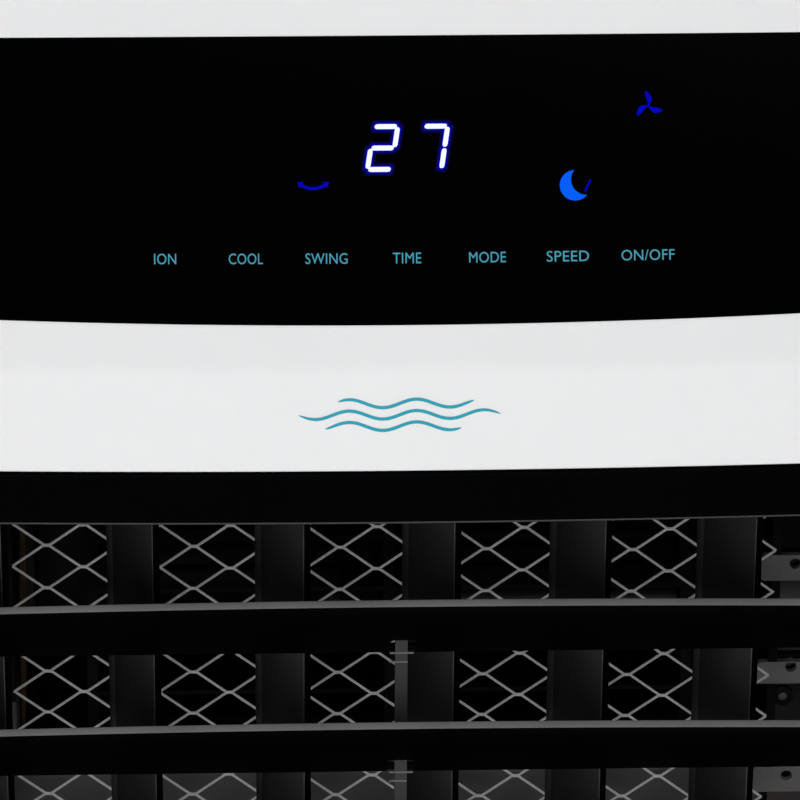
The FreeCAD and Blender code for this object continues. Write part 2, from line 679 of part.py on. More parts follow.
# ---------------------------------------------------------------- water tank
def water_tank():
    """Drawer tank with its outside door and finger lip."""
    tub = block(("-tank_half", "tank_half"), ("tank_front", "side_back"),
                ("tank_low", "tank_high"))
    water_space = block(("-tank_half + tank_wall", "tank_half - tank_wall"),
                        ("tank_front + tank_wall", "side_back - tank_wall"),
                        ("tank_low + tank_wall", "tank_high + 1"))
    door = block(("-door_half", "door_half"),
                 ("side_back + rear_wall + gap", "side_back + rear_wall + door_thick"),
                 ("tank_low", "door_high"))
    neck = block(("-tank_half", "tank_half"), ("side_back - tank_wall", "side_back + rear_wall + 1"),
                 ("tank_low", "tank_high"))
    lip = block(("-50", "50"), ("side_back + rear_wall + door_thick - 1", "depth / 2"),
                ("132", "136"))
    named("water_tank", fuse(cut(tub, water_space), neck, door, lip))


def pump():
    """Submersible pump in the tank's rear left corner, and its impeller."""
    body = block(("-136", "-104"), ("108", "146.5"), ("tank_low + tank_wall", "112"))
    outlet = rod("z", ("-132 + 3", "132", "111"), "3.5", "47")
    chamber = rod("z", ("-118", "126", "66"), "13", "12")
    eye = rod("z", ("-118", "126", "tank_low"), "6", "12")
    named("pump", cut(fuse(body, outlet), chamber, eye))
    disc = rod("z", ("-118", "126", "74"), "12", "2")
    hub = rod("z", ("-118", "126", "68"), "3", "7")
    blades = [
        turn(block(("-0.6", "0.6"), ("0", "12"), ("0", "5")), Vector(0, 0, 1), str(angle))
        for angle in range(0, 360, 60)
    ]
    for blade in blades:
        bind(blade, "Placement.Base.x", "-118")
        bind(blade, "Placement.Base.y", "126")
        bind(blade, "Placement.Base.z", "69.5")
    named("pump_impeller", fuse(disc, hub, *blades))


def ice_packs():
    """Two freezer packs that lie on the tank floor."""
    packs = []
    for side in ("-92", "6"):
        pack = block((side, "%s + 86" % side), ("-100", "40"),
                     ("tank_low + tank_wall", "tank_low + tank_wall + 26"))
        packs.append(rounded(pack, "8", lambda edge: runs_along(edge, Vector(0, 0, 1))))
    named("ice_packs", group(*packs))


def tank_latch():
    """Turning latch above the tank door, drawn in its open position."""
    z = "door_high + 11"
    stem = rod("y", ("0", "side_back", z), "3", "6")
    cap = rod("y", ("0", "side_back + rear_wall + gap", z), "9", "grille_thick + 0.7")
    arm = block(("0", "18"), ("side_back + rear_wall + door_thick + 0.5", "depth / 2 - 0.5"),
                (z + " - 5", z + " + 5"))
    neck = rod("y", ("0", "side_back + rear_wall + 1", z), "7", "10")
    named("tank_latch", fuse(stem, cap, arm, neck))


# ---------------------------------------------------------------- casters
def caster(label, right, back):
    """Swivel fork with its axle, and the trailing wheel."""
    x, y = "%d * caster_x" % right, "%d * caster_y" % back
    stem = rod("z", (x, y, "floor_gap - 1"), "stem_radius", "tray_thick")
    plate = rod("z", (x, y, "floor_gap - 5"), "13", "4.6")
    axle_y = "(%s + caster_trail)" % y
    cheeks = []
    for side in ("-tyre_half - 3", "tyre_half + 0.6"):
        ear = block(("%s + (%s)" % (x, side), "%s + (%s) + 2.4" % (x, side)),
                    (y + " - 8", axle_y + " + 6"), ("tyre_radius - 6", "floor_gap - 3"))
        cheeks.append(ear)
    bridge = block((x + " - tyre_half - 3", x + " + tyre_half + 3"), (y + " - 8", axle_y + " + 6"),
                   ("floor_gap - 8", "floor_gap - 3"))
    axle = rod("x", (x + " - tyre_half - 4", axle_y, "tyre_radius"), "axle_radius",
               "2 * tyre_half + 8")
    named(label + "_fork", fuse(stem, plate, *cheeks, bridge, axle))
    tyre = rod("x", (x + " - tyre_half", axle_y, "tyre_radius"), "tyre_radius", "2 * tyre_half")
    bore = rod("x", (x + " - tyre_half - 1", axle_y, "tyre_radius"), "axle_radius + running_gap",
               "2 * tyre_half + 2")
    named(label + "_wheel", cut(tyre, bore))


# ---------------------------------------------------------------- build
base_tray()
side_panel("left_side_panel", "-width / 2", "-fascia_half - 0.1", "-fascia_half + %(deep)s" % GRIP)
side_panel("right_side_panel", "width / 2", "fascia_half + 0.1", "fascia_half - %(deep)s" % GRIP)
control_fascia()
display_board()
top_cover()
outlet_frame()
front_lower_panel()
rear_frame()
case_screws()
cord_gland()
for index in range(LOUVRES):
    louvre(index)
louvre_link()
for index in range(VANES):
    vane(index)
vane_link()
vane_frame()
swing_motor()
guard_mesh()
scroll_housing()
blower_wheel()
motor_shaft()
fan_motor()
electronics()
water_path()
rear_panel()
water_tank()
pump()
ice_packs()
tank_latch()
for caster_name, side, end in (("front_left", -1, -1), ("front_right", 1, -1),
                               ("rear_left", -1, 1), ("rear_right", 1, 1)):
    caster(caster_name, side, end)

doc.recompute()
failed = [thing.Name for thing in doc.Objects if {"Invalid", "Error"} & set(thing.State)]
if failed:
    raise RuntimeError("failed objects: %s" % failed)
for thing in sub_parts:
    if thing.Shape.isNull() or not thing.Shape.isValid() or not thing.Shape.Solids:
        raise RuntimeError("bad shape: " + thing.Label)
os.makedirs("parts", exist_ok=True)
for thing in sub_parts:
    thing.Shape.exportStep("parts/%s.step" % thing.Label)
print(len(sub_parts), "sub-parts written")
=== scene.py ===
"""Looks of the household evaporative cooler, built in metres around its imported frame.

+X is to the right as seen from the front, +Y runs from front to back, +Z is up.
"""
import json
import math
import random

import bmesh
import bpy
from mathutils import Matrix, Vector


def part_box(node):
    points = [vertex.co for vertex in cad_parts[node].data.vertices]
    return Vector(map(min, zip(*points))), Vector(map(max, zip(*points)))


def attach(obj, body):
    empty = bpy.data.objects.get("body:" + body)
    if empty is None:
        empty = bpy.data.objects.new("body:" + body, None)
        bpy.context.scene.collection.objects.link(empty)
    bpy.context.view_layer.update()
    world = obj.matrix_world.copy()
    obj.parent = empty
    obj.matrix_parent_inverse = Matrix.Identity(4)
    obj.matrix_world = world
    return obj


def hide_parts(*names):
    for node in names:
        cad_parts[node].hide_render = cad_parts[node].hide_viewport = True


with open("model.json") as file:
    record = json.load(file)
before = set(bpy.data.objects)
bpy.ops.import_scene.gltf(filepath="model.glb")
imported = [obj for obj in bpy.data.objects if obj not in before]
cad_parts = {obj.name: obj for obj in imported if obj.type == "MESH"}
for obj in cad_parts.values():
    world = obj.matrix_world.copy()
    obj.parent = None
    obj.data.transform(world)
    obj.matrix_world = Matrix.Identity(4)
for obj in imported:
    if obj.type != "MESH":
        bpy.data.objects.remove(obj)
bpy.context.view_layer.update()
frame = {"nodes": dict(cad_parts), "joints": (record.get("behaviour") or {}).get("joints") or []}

MM = 0.001
random.seed(7)

# ---- sizes read from the frame
FASCIA_LOW, FASCIA_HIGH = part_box("control_fascia")
OUTLET_LOW, OUTLET_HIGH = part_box("outlet_frame")
LOWER_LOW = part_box("front_lower_panel")[0]
LID_LOW, LID_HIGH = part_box("top_cover")
SIDE_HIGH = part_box("right_side_panel")[1]
MESH_LOW, MESH_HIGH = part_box("guard_mesh")
RING_LOW, RING_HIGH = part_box("vane_frame")
FRONT = FASCIA_LOW.y
FOOT = LOWER_LOW.z
BAND_FOOT = FASCIA_LOW.z
TOP = FASCIA_HIGH.z
HALF = SIDE_HIGH.x
BACK = LID_HIGH.y
JOINTS = {joint["name"]: joint for joint in frame["joints"]}

BEND_RADIUS = 2.63                       # radius of the front's bow in plan
BAND_LEAN = math.radians(13)
PANEL_LEAN = math.radians(30)
BAND_RISE = 25.8 * MM
CREASE_RISE = 11.6 * MM
GLASS_RISE = 72.9 * MM
EDGE_ROUND = 9 * MM                      # rounding between front or top and the sides
LID_SEAM = LID_LOW.y - 0.1 * MM


# ---- mesh helpers
def new_object(name, data):
    piece = bpy.data.objects.new(name, data)
    bpy.context.scene.collection.objects.link(piece)
    return piece


def mesh_object(name, verts, faces):
    mesh = bpy.data.meshes.new(name)
    mesh.from_pydata([tuple(v) for v in verts], [], faces)
    mesh.update()
    return new_object(name, mesh)


def tidy(piece, angle=35, merge=0.02 * MM):
    """Welds doubles, faces normals outwards and shades smooth except at sharp edges."""
    bm = bmesh.new()
    bm.from_mesh(piece.data)
    bmesh.ops.remove_doubles(bm, verts=bm.verts, dist=merge)
    bmesh.ops.recalc_face_normals(bm, faces=bm.faces)
    for face in bm.faces:
        face.smooth = True
    limit = math.radians(angle)
    for edge in bm.edges:
        if len(edge.link_faces) == 2:
            edge.smooth = edge.calc_face_angle(0) < limit
    bm.to_mesh(piece.data)
    bm.free()
    return piece


def bevel(piece, width, segments=2, angle=32):
    modifier = piece.modifiers.new("edges", "BEVEL")
    modifier.width = width
    modifier.segments = segments
    modifier.limit_method = "ANGLE"
    modifier.angle_limit = math.radians(angle)
    modifier.harden_normals = True
    return piece


def solidify(piece, thickness, offset=-1):
    modifier = piece.modifiers.new("wall", "SOLIDIFY")
    modifier.thickness = thickness
    modifier.offset = offset
    modifier.use_even_offset = True


def dress(piece, body, material):
    """Gives a piece its body and, unless it is painted, its material."""
    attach(piece, body)
    if not piece.data.materials:
        piece.data.materials.append(material)


def baked(piece):
    """The piece as one mesh with its modifiers or curve settings applied."""
    graph = bpy.context.evaluated_depsgraph_get()
    mesh = bpy.data.meshes.new_from_object(piece.evaluated_get(graph))
    name = piece.name
    bpy.data.objects.remove(piece)
    mesh.name = name
    return new_object(name, mesh)


def join(name, pieces):
    """One mesh object from several."""
    bm = bmesh.new()
    for piece in pieces:
        bm.from_mesh(piece.data)
        bpy.data.objects.remove(piece)
    mesh = bpy.data.meshes.new(name)
    bm.to_mesh(mesh)
    bm.free()
    return new_object(name, mesh)


def paint(piece, materials, choose):
    """Appends the materials and gives each face the one whose number choose returns."""
    for material in materials:
        piece.data.materials.append(material)
    for face in piece.data.polygons:
        face.material_index = choose(face)


def plate(name, outlines, thickness, edge, matrix=Matrix(), steps=2):
    """A flat plate with rounded edges from closed outlines; inner outlines are holes."""
    curve = bpy.data.curves.new(name, "CURVE")
    curve.dimensions = "2D"
    curve.fill_mode = "BOTH"
    curve.extrude = thickness / 2 - edge
    curve.bevel_depth = edge
    curve.bevel_resolution = steps
    curve.offset = -edge
    for outline in outlines:
        spline = curve.splines.new("POLY")
        spline.points.add(len(outline) - 1)
        for point, (x, y) in zip(spline.points, outline):
            point.co = (x, y, 0, 1)
        spline.use_cyclic_u = True
    piece = baked(new_object(name, curve))
    piece.data.transform(matrix)
    return tidy(piece, 10)


def rounded_box_outline(x0, x1, y0, y1, radius, steps=6):
    points = []
    for cx, cy, start in ((x1 - radius, y1 - radius, 0), (x0 + radius, y1 - radius, 90),
                          (x0 + radius, y0 + radius, 180), (x1 - radius, y0 + radius, 270)):
        for step in range(steps + 1):
            angle = math.radians(start + 90 * step / steps)
            points.append((cx + radius * math.cos(angle), cy + radius * math.sin(angle)))
    return points


def circle_outline(cx, cy, radius, steps=24):
    turn = 2 * math.pi / steps
    return [(cx + radius * math.cos(turn * k), cy + radius * math.sin(turn * k))
            for k in range(steps)]


def lathe(name, profile, axis, centre, steps=48, closed=False):
    """A turned piece: profile holds (distance along axis, radius) pairs."""
    axis = Vector(axis).normalized()
    side = axis.orthogonal().normalized()
    other = axis.cross(side)
    verts, faces = [], []
    for k in range(steps):
        angle = 2 * math.pi * k / steps
        out = side * math.cos(angle) + other * math.sin(angle)
        verts += [Vector(centre) + axis * d + out * r for d, r in profile]
    count = len(profile)
    last = count if closed else count - 1
    for k in range(steps):
        a, b = k * count, ((k + 1) % steps) * count
        for i in range(last):
            j = (i + 1) % count
            faces.append((a + i, a + j, b + j, b + i))
    return tidy(mesh_object(name, verts, faces))


def bar(name, start, end, radius, sides=8, squash=1.0):
    """A straight round or flattened rod between two points."""
    start, end = Vector(start), Vector(end)
    axis = (end - start).normalized()
    side = axis.cross(Vector((0, 1, 0)))
    if side.length < 0.1:
        side = axis.cross(Vector((1, 0, 0)))
    side.normalize()
    other = axis.cross(side)
    verts, faces = [], []
    for point in (start, end):
        for k in range(sides):
            angle = 2 * math.pi * (k + 0.5) / sides
            out = side * math.cos(angle) + other * math.sin(angle) * squash
            verts.append(point + out * radius)
    for k in range(sides):
        j = (k + 1) % sides
        faces.append((k, j, sides + j, sides + k))
    faces.append(tuple(range(sides))[::-1])
    faces.append(tuple(range(sides, 2 * sides)))
    return mesh_object(name, verts, faces)


# ---- materials
GRAIN_DEPTH = 0.0004
FLESH_DEPTH = 0.004                      # how far light enters a translucent moulding
REFRACTION = 1.45


def settle(node, **values):
    """Sets a node's inputs; an underscore stands for a space in an input's name."""
    for name, value in values.items():
        node.inputs[name.replace("_", " ")].default_value = value


def noise(nodes, links, coords, scale, detail=3):
    texture = nodes.new("ShaderNodeTexNoise")
    settle(texture, Scale=scale, Detail=detail, Roughness=0.5)
    links.new(coords.outputs["Object"], texture.inputs["Vector"])
    return texture


def plastic(name, color, roughness=0.4, specular=0.3, vary=0.04, grain=900, bump=0.05,
            rough_vary=0.06, metallic=0.0, clear=0.0, blotch=22, subsurface=0.0,
            painted_glow=0.0):
    """Moulded material: slight colour mottle, uneven gloss and a fine moulded grain."""
    material = bpy.data.materials.new(name)
    material.use_nodes = True
    nodes, links = material.node_tree.nodes, material.node_tree.links
    shader = nodes["Principled BSDF"]
    settle(shader, Metallic=metallic, Specular_IOR_Level=specular)
    if clear:
        settle(shader, Transmission_Weight=clear, IOR=REFRACTION)
    if subsurface:
        settle(shader, Subsurface_Weight=subsurface, Subsurface_Scale=FLESH_DEPTH)
    # A glow in the surface's own colour: painted light, not a lamp.
    if painted_glow:
        settle(shader, Emission_Color=(*color, 1), Emission_Strength=painted_glow)
    coords = nodes.new("ShaderNodeTexCoord")
    mottle = noise(nodes, links, coords, blotch)
    ramp = nodes.new("ShaderNodeValToRGB")
    ramp.color_ramp.elements[0].position = 0.3
    ramp.color_ramp.elements[1].position = 0.7
    ramp.color_ramp.elements[0].color = tuple(c * (1 - vary) for c in color) + (1,)
    ramp.color_ramp.elements[1].color = tuple(min(1, c * (1 + vary)) for c in color) + (1,)
    links.new(mottle.outputs["Fac"], ramp.inputs["Fac"])
    links.new(ramp.outputs["Color"], shader.inputs["Base Color"])
    smudge = noise(nodes, links, coords, blotch * 2.3, detail=5)
    spread = nodes.new("ShaderNodeMapRange")
    settle(spread, To_Min=max(0.02, roughness - rough_vary), To_Max=min(1, roughness + rough_vary))
    links.new(smudge.outputs["Fac"], spread.inputs["Value"])
    links.new(spread.outputs["Result"], shader.inputs["Roughness"])
    grains = noise(nodes, links, coords, grain, detail=2)
    relief = nodes.new("ShaderNodeBump")
    settle(relief, Strength=bump, Distance=GRAIN_DEPTH)
    links.new(grains.outputs["Fac"], relief.inputs["Height"])
    links.new(relief.outputs["Normal"], shader.inputs["Normal"])
    return material


def glow(name, color, strength, vary=0.06):
    """Lit print or LED segment: even light with a faint unevenness."""
    material = plastic(name, (0.0006, 0.0006, 0.0007), 0.5, 0.02)
    nodes, links = material.node_tree.nodes, material.node_tree.links
    shader = nodes["Principled BSDF"]
    coords = [node for node in nodes if node.type == "TEX_COORD"][0]
    flicker = noise(nodes, links, coords, 260)
    ramp = nodes.new("ShaderNodeValToRGB")
    ramp.color_ramp.elements[0].color = tuple(c * (1 - vary) for c in color) + (1,)
    ramp.color_ramp.elements[1].color = tuple(c * (1 + vary) for c in color) + (1,)
    links.new(flicker.outputs["Fac"], ramp.inputs["Fac"])
    links.new(ramp.outputs["Color"], shader.inputs["Emission Color"])
    settle(shader, Emission_Strength=strength)
    return material


def shaded_inside(name, inside, lip, front, height):
    """Moulding whose front lip, below a height, keeps the lip colour; elsewhere it is painted dark, a
    painted shade for its unlit inside.
    """
    material = plastic(name, lip, 0.5, 0.2)
    nodes, links = material.node_tree.nodes, material.node_tree.links
    place = nodes.new("ShaderNodeNewGeometry")
    axes = nodes.new("ShaderNodeSeparateXYZ")
    links.new(place.outputs["Position"], axes.inputs["Vector"])
    both = nodes.new("ShaderNodeMath")
    both.operation = "MULTIPLY"
    for socket, (axis, limit) in enumerate((("Y", front), ("Z", height))):
        test = nodes.new("ShaderNodeMath")
        test.operation = "LESS_THAN"
        test.inputs[1].default_value = limit
        links.new(axes.outputs[axis], test.inputs[0])
        links.new(test.outputs["Value"], both.inputs[socket])
    blend = nodes.new("ShaderNodeMix")
    blend.data_type = "RGBA"
    color_a, color_b, color_out = 6, 7, 2
    # The inside colour is painted shade; the mask keeps the lip colour on the front lip.
    blend.inputs[color_a].default_value = (inside, inside, inside, 1)
    mottled = nodes["Principled BSDF"].inputs["Base Color"].links[0].from_socket
    links.new(both.outputs["Value"], blend.inputs["Factor"])
    links.new(mottled, blend.inputs[color_b])
    links.new(blend.outputs[color_out], nodes["Principled BSDF"].inputs["Base Color"])
    return material


WHITE = plastic("white_gloss", (0.86, 0.865, 0.875), 0.34, 0.35, vary=0.008, bump=0.02,
                subsurface=0.05)
BLACK = plastic("black_gloss", (0.0008, 0.0008, 0.0009), 0.28, 0.012, vary=0.2, bump=0.02)
# Dark grey ring round the outlet's mouth: a painted highlight of the frame's lit edge.
MOUTH_HIGHLIGHT = plastic("mouth_lip_painted_highlight", (0.03, 0.03, 0.031), 0.35, 0.3, vary=0.1)
GLASS = plastic("display_black", (0.0004, 0.0004, 0.0005), 0.1, 0.01, vary=0.2, bump=0.003,
                rough_vary=0.03)
BLADE = plastic("blade_black", (0.0009, 0.0009, 0.001), 0.4, 0.015, vary=0.2, bump=0.05)
# Lighter grey for the louvres' front rims: a painted highlight where the lit edge catches the light.
EDGE = plastic("blade_edge_painted_highlight", (0.112, 0.112, 0.114), 0.42, 0.25, vary=0.14, blotch=45)
VANE = plastic("vane_black", (0.038, 0.038, 0.039), 0.5, 0.12, vary=0.2, bump=0.08)
# Front faces of the vanes: painted shade, much darker than the vane body because they sit in shade.
VANE_FRONT_SHADE = plastic("vane_edge", (0.0012, 0.0012, 0.0013), 0.4, 0.02, vary=0.15, blotch=60)
# Left-facing front rims of the vanes: painted highlight of the lit rounded edge.
VANE_RIM_HIGHLIGHT = plastic("vane_rim", (0.09, 0.09, 0.092), 0.4, 0.3, vary=0.4, blotch=70)
# The guard mesh glows faintly: painted light that brightens it where it sits in shade behind the
# louvres.
MESH = plastic("mesh_grey", (0.93, 0.93, 0.93), 0.45, 0.5, vary=0.06, blotch=90, painted_glow=0.07)
HOUSING = plastic("housing_grey", (0.3, 0.303, 0.306), 0.5, 0.3, vary=0.05)
LUG = plastic("lug_grey", (0.34, 0.342, 0.345), 0.5, 0.3, vary=0.08)
CLIP = plastic("clip_grey", (0.17, 0.171, 0.173), 0.45, 0.3, vary=0.1)
LINK = plastic("link_grey", (0.05, 0.05, 0.051), 0.5, 0.2, vary=0.12)
# Scroll housing: grey front lip, with its inside painted dark as painted shade.
SCROLL = shaded_inside("scroll_painted_inner_shade", 0.012, (0.19, 0.191, 0.193), -58 * MM, 456 * MM)
MATT = plastic("black_matt", (0.008, 0.008, 0.009), 0.6, 0.15, vary=0.15, bump=0.12)
STEEL = plastic("zinc_steel", (0.62, 0.63, 0.65), 0.32, 0.5, metallic=1.0, vary=0.08)
# Motor can darkened well below bare metal: painted shade for the dark inside of the cabinet.
SILVER = plastic("motor_silver", (0.2, 0.204, 0.21), 0.45, 0.4, metallic=0.8, vary=0.06)
# Shaft and bracket steel darkened from zinc to near black: painted shade inside the cabinet.
SHADED_STEEL = plastic("steel_painted_shade", (0.09, 0.092, 0.095), 0.5, 0.3, metallic=0.7, vary=0.2)
BOARD = plastic("circuit_green", (0.02, 0.16, 0.06), 0.45, 0.4, vary=0.2, blotch=120)
WINDOW = plastic("window_clear", (0.75, 0.85, 0.9), 0.08, 0.5, clear=0.85, vary=0.02)
HOSE = plastic("hose_clear", (0.8, 0.83, 0.82), 0.25, 0.45, clear=0.5, vary=0.03)
TANK = plastic("tank_grey_blue", (0.62, 0.68, 0.74), 0.4, 0.35, vary=0.03, subsurface=0.1)
ICE = plastic("ice_pack_blue", (0.04, 0.22, 0.6), 0.3, 0.4, vary=0.1)
NET = plastic("filter_net", (0.05, 0.052, 0.056), 0.7, 0.2, vary=0.3, blotch=300, bump=0.4)
KRAFT = plastic("pad_kraft", (0.34, 0.22, 0.11), 0.85, 0.15, vary=0.3, blotch=120, bump=0.4)
CASTER = plastic("caster_black", (0.012, 0.012, 0.013), 0.45, 0.25, vary=0.15)
TYRE = plastic("tyre_rubber", (0.03, 0.03, 0.032), 0.75, 0.2, vary=0.15, bump=0.2)
HUB = plastic("hub_grey", (0.16, 0.162, 0.165), 0.5, 0.25, vary=0.1)
TEAL = plastic("print_teal", (0.012, 0.36, 0.47), 0.45, 0.2, vary=0.05)
LEGEND = glow("legend_cyan", (0.08, 0.39, 0.52), 0.85)
ICON = glow("icon_blue", (0.0, 0.0, 0.56), 0.9)
MOON = glow("moon_blue", (0.0, 0.115, 1.0), 0.95)
DIGIT = glow("digit_white", (0.82, 0.88, 1.0), 1.2)
HALOS = [glow("digit_halo_%d" % ring, (0.0, 0.0, 0.8), strength)
         for ring, strength in enumerate((0.05, 0.18, 0.6))]


# ---- the cabinet's outer surface
def leaning(point, length, lean):
    return Vector((point[0] + length * math.sin(lean), point[1] + length * math.cos(lean)))


BAND_START = Vector((FRONT, BAND_FOOT))
CREASE = leaning(BAND_START, BAND_RISE, BAND_LEAN)
GLASS_FOOT = leaning(CREASE, CREASE_RISE, PANEL_LEAN)
BROW = leaning(CREASE, (TOP - CREASE.y) / math.cos(PANEL_LEAN), PANEL_LEAN)


def side_profile():
    """Front and top outline as (y, z) points with soft corners."""
    corners = [Vector((FRONT, FOOT)), BAND_START, CREASE, BROW, Vector((BACK, TOP))]
    radii = [0, 1.5 * MM, 16 * MM, 40 * MM, 0]
    points = [corners[0]]
    for before, corner, after, radius in zip(corners, corners[1:], corners[2:], radii[1:]):
        to_before = (before - corner).normalized()
        to_after = (after - corner).normalized()
        half = to_before.angle(to_after) / 2
        reach = radius / math.tan(half)
        centre = corner + (to_before + to_after).normalized() * radius / math.sin(half)
        start = corner + to_before * reach - centre
        end = corner + to_after * reach - centre
        steps = max(3, int(radius / (2.5 * MM)))
        sweep = start.angle_signed(end)
        for step in range(steps + 1):
            turn = Matrix.Rotation(-sweep * step / steps, 2)
            points.append(centre + turn @ start)
    points.append(corners[-1])
    return points


PROFILE = side_profile()
LENGTHS = [0.0]
for first, second in zip(PROFILE, PROFILE[1:]):
    LENGTHS.append(LENGTHS[-1] + (second - first).length)


def profile_at(station):
    """Point and inward normal of the outline at a distance along it."""
    station = min(max(station, 0), LENGTHS[-1])
    for index in range(len(PROFILE) - 1):
        if station <= LENGTHS[index + 1] + 1e-9:
            break
    span = PROFILE[index + 1] - PROFILE[index]
    t = (station - LENGTHS[index]) / max(span.length, 1e-9)
    inward = Vector((span.y, -span.x)).normalized()
    return PROFILE[index] + span * t, inward


def smooth_normal(station):
    """Inward normal averaged over a small stretch, so that rounded parts look smooth."""
    total = Vector((0, 0))
    for shift in (-1.2, -0.4, 0.4, 1.2):
        total += profile_at(station + shift * MM)[1]
    return total.normalized()


def station_where(test):
    """First station along the outline where the test of its point becomes true."""
    low, high = 0.0, LENGTHS[-1]
    for _ in range(50):
        middle = (low + high) / 2
        if test(profile_at(middle)[0]):
            high = middle
        else:
            low = middle
    return high


def station_at_height(z):
    return station_where(lambda point: point.y >= z)


def bow(x):
    return x * x / (2 * BEND_RADIUS)


def bow_share(y):
    """The bow fades out over the brow, so that the top's seams run straight."""
    start, end = BROW.x - 25 * MM, LID_SEAM
    t = min(max((y - start) / (end - start), 0), 1)
    return 1 - t * t * (3 - 2 * t)


ROUND_STEPS = 7
FLAT_STEPS = 24


def across_places(extra=()):
    """(x, inset) places from the left side to the right one, with rounded outer edges."""
    flat = HALF - EDGE_ROUND
    places = []
    for step in range(ROUND_STEPS + 1):
        angle = math.pi / 2 * (1 - step / ROUND_STEPS)
        places.append((-flat - EDGE_ROUND * math.sin(angle), EDGE_ROUND * (1 - math.cos(angle))))
    inner = [flat * (-1 + 2 * k / FLAT_STEPS) for k in range(1, FLAT_STEPS)]
    inner = [x for x in inner if all(abs(x - e) > 2 * MM for e in extra)]
    places += [(x, 0) for x in sorted(inner + list(extra))]
    places += [(-x, inset) for x, inset in places[:ROUND_STEPS + 1][::-1]]
    return places


def skin(name, start, end, wall, opening=None, extra_x=(), extra_s=(), dip=None, step=6 * MM):
    """A shell over part of the outer surface, between two stations of its outline.

    An opening gives its left, right, lower and upper edge.
    """
    if opening:
        left, right, sill, head = opening
        low_at, high_at = station_at_height(sill), station_at_height(head)
        extra_x, extra_s = (left, right), (low_at, high_at)
    stations = {start, end, *extra_s}
    for length, point in zip(LENGTHS, PROFILE):
        if start < length < end:
            stations.add(length)
    count = max(1, int((end - start) / step))
    for k in range(1, count):
        place = start + (end - start) * k / count
        if all(abs(place - other) > 1.5 * MM for other in stations):
            stations.add(place)
    stations = sorted(stations)
    places = across_places(extra_x)
    verts = []
    for station in stations:
        point = profile_at(station)[0]
        inward = smooth_normal(station)
        for x, inset in places:
            y = point.x + inward.x * inset
            z = point.y + inward.y * inset
            y += bow(x) * bow_share(point.x)
            if dip:
                z -= dip(x, y)
            verts.append((x, y, z))
    faces = []
    width = len(places)
    for row in range(len(stations) - 1):
        for column in range(width - 1):
            x = (places[column][0] + places[column + 1][0]) / 2
            s = (stations[row] + stations[row + 1]) / 2
            if opening and left < x < right and low_at < s < high_at:
                continue
            a = row * width + column
            faces.append((a, a + 1, a + width + 1, a + width))
    piece = mesh_object(name, verts, faces)
    bm = bmesh.new()
    bm.from_mesh(piece.data)
    loose = [v for v in bm.verts if not v.link_faces]
    bmesh.ops.delete(bm, geom=loose, context="VERTS")
    for face in bm.faces:
        face.smooth = True
    bm.to_mesh(piece.data)
    bm.free()
    solidify(piece, wall)
    return bevel(piece, 0.5 * MM, 3, angle=50)


SEAM = 0.35 * MM
OUTLET_FOOT_AT = station_at_height(OUTLET_LOW.z)
BAND_AT = station_at_height(BAND_FOOT)
LID_AT = station_where(lambda p: p.x >= LID_SEAM)


def panel_point(x, up, lift=0.0):
    """A point on the sloping panel: up from the glass's lower edge, lifted off its face."""
    point = leaning(GLASS_FOOT, up, PANEL_LEAN)
    y = point.x - lift * math.cos(PANEL_LEAN) + bow(x)
    return Vector((x, y, point.y + lift * math.sin(PANEL_LEAN)))


def band_point(x, up, lift=0.0):
    point = leaning(BAND_START, up, BAND_LEAN)
    y = point.x - lift * math.cos(BAND_LEAN) + bow(x)
    return Vector((x, y, point.y + lift * math.sin(BAND_LEAN)))


# ---- control fascia and display
def control_fascia():
    fascia = skin("control_fascia_shell", BAND_AT + SEAM, LID_AT - SEAM, 3 * MM, step=4 * MM)
    dress(fascia, "cabinet", WHITE)
    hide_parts("control_fascia")


GLASS_HALF = 138 * MM
GLASS_FOOT_SAG = 1.35 * MM
GLASS_HEAD_ARCH = 0.55 * MM
GLASS_CORNER = 9 * MM


def glass_edges(x):
    """Lower and upper edge of the glass at x: both bow, and the corners are rounded."""
    unit = x / (100 * MM)
    low = GLASS_FOOT_SAG * unit * unit
    high = GLASS_RISE - GLASS_HEAD_ARCH * unit * unit
    into = abs(x) - (GLASS_HALF - GLASS_CORNER)
    if into > 0:
        drop = GLASS_CORNER - math.sqrt(max(GLASS_CORNER ** 2 - into ** 2, 0))
        low += drop
        high -= drop
    return low, high


def display_glass():
    flat = GLASS_HALF - GLASS_CORNER
    places = [flat * (-1 + 2 * k / 40) for k in range(41)]
    ends = [flat + GLASS_CORNER * math.sin(math.pi / 2 * k / 8) for k in range(1, 9)]
    places = [-x for x in reversed(ends)] + places + ends
    rows = 12
    proud = 0.25 * MM
    verts, faces = [], []
    for x in places:
        low, high = glass_edges(x)
        verts += [panel_point(x, low + (high - low) * k / rows, proud) for k in range(rows + 1)]
    for column in range(len(places) - 1):
        for row in range(rows):
            a = column * (rows + 1) + row
            faces.append((a, a + rows + 1, a + rows + 2, a + 1))
    glass = tidy(mesh_object("display_glass_panel", verts, faces))
    solidify(glass, 1.4 * MM)
    bevel(glass, 0.15 * MM, 2, angle=50)
    dress(glass, "cabinet", GLASS)
    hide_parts("display_glass")


def on_panel(piece, x, up, lift, surface=panel_point, slant=0.0):
    """Lays a flat drawing made in (x, up) onto the sloping panel or the band."""
    for vertex in piece.data.vertices:
        u = vertex.co.x + vertex.co.y * math.tan(slant)
        vertex.co = surface(x + u, up + vertex.co.y, lift + vertex.co.z)
    piece.data.update()


PRINT_LIFT = 0.29 * MM


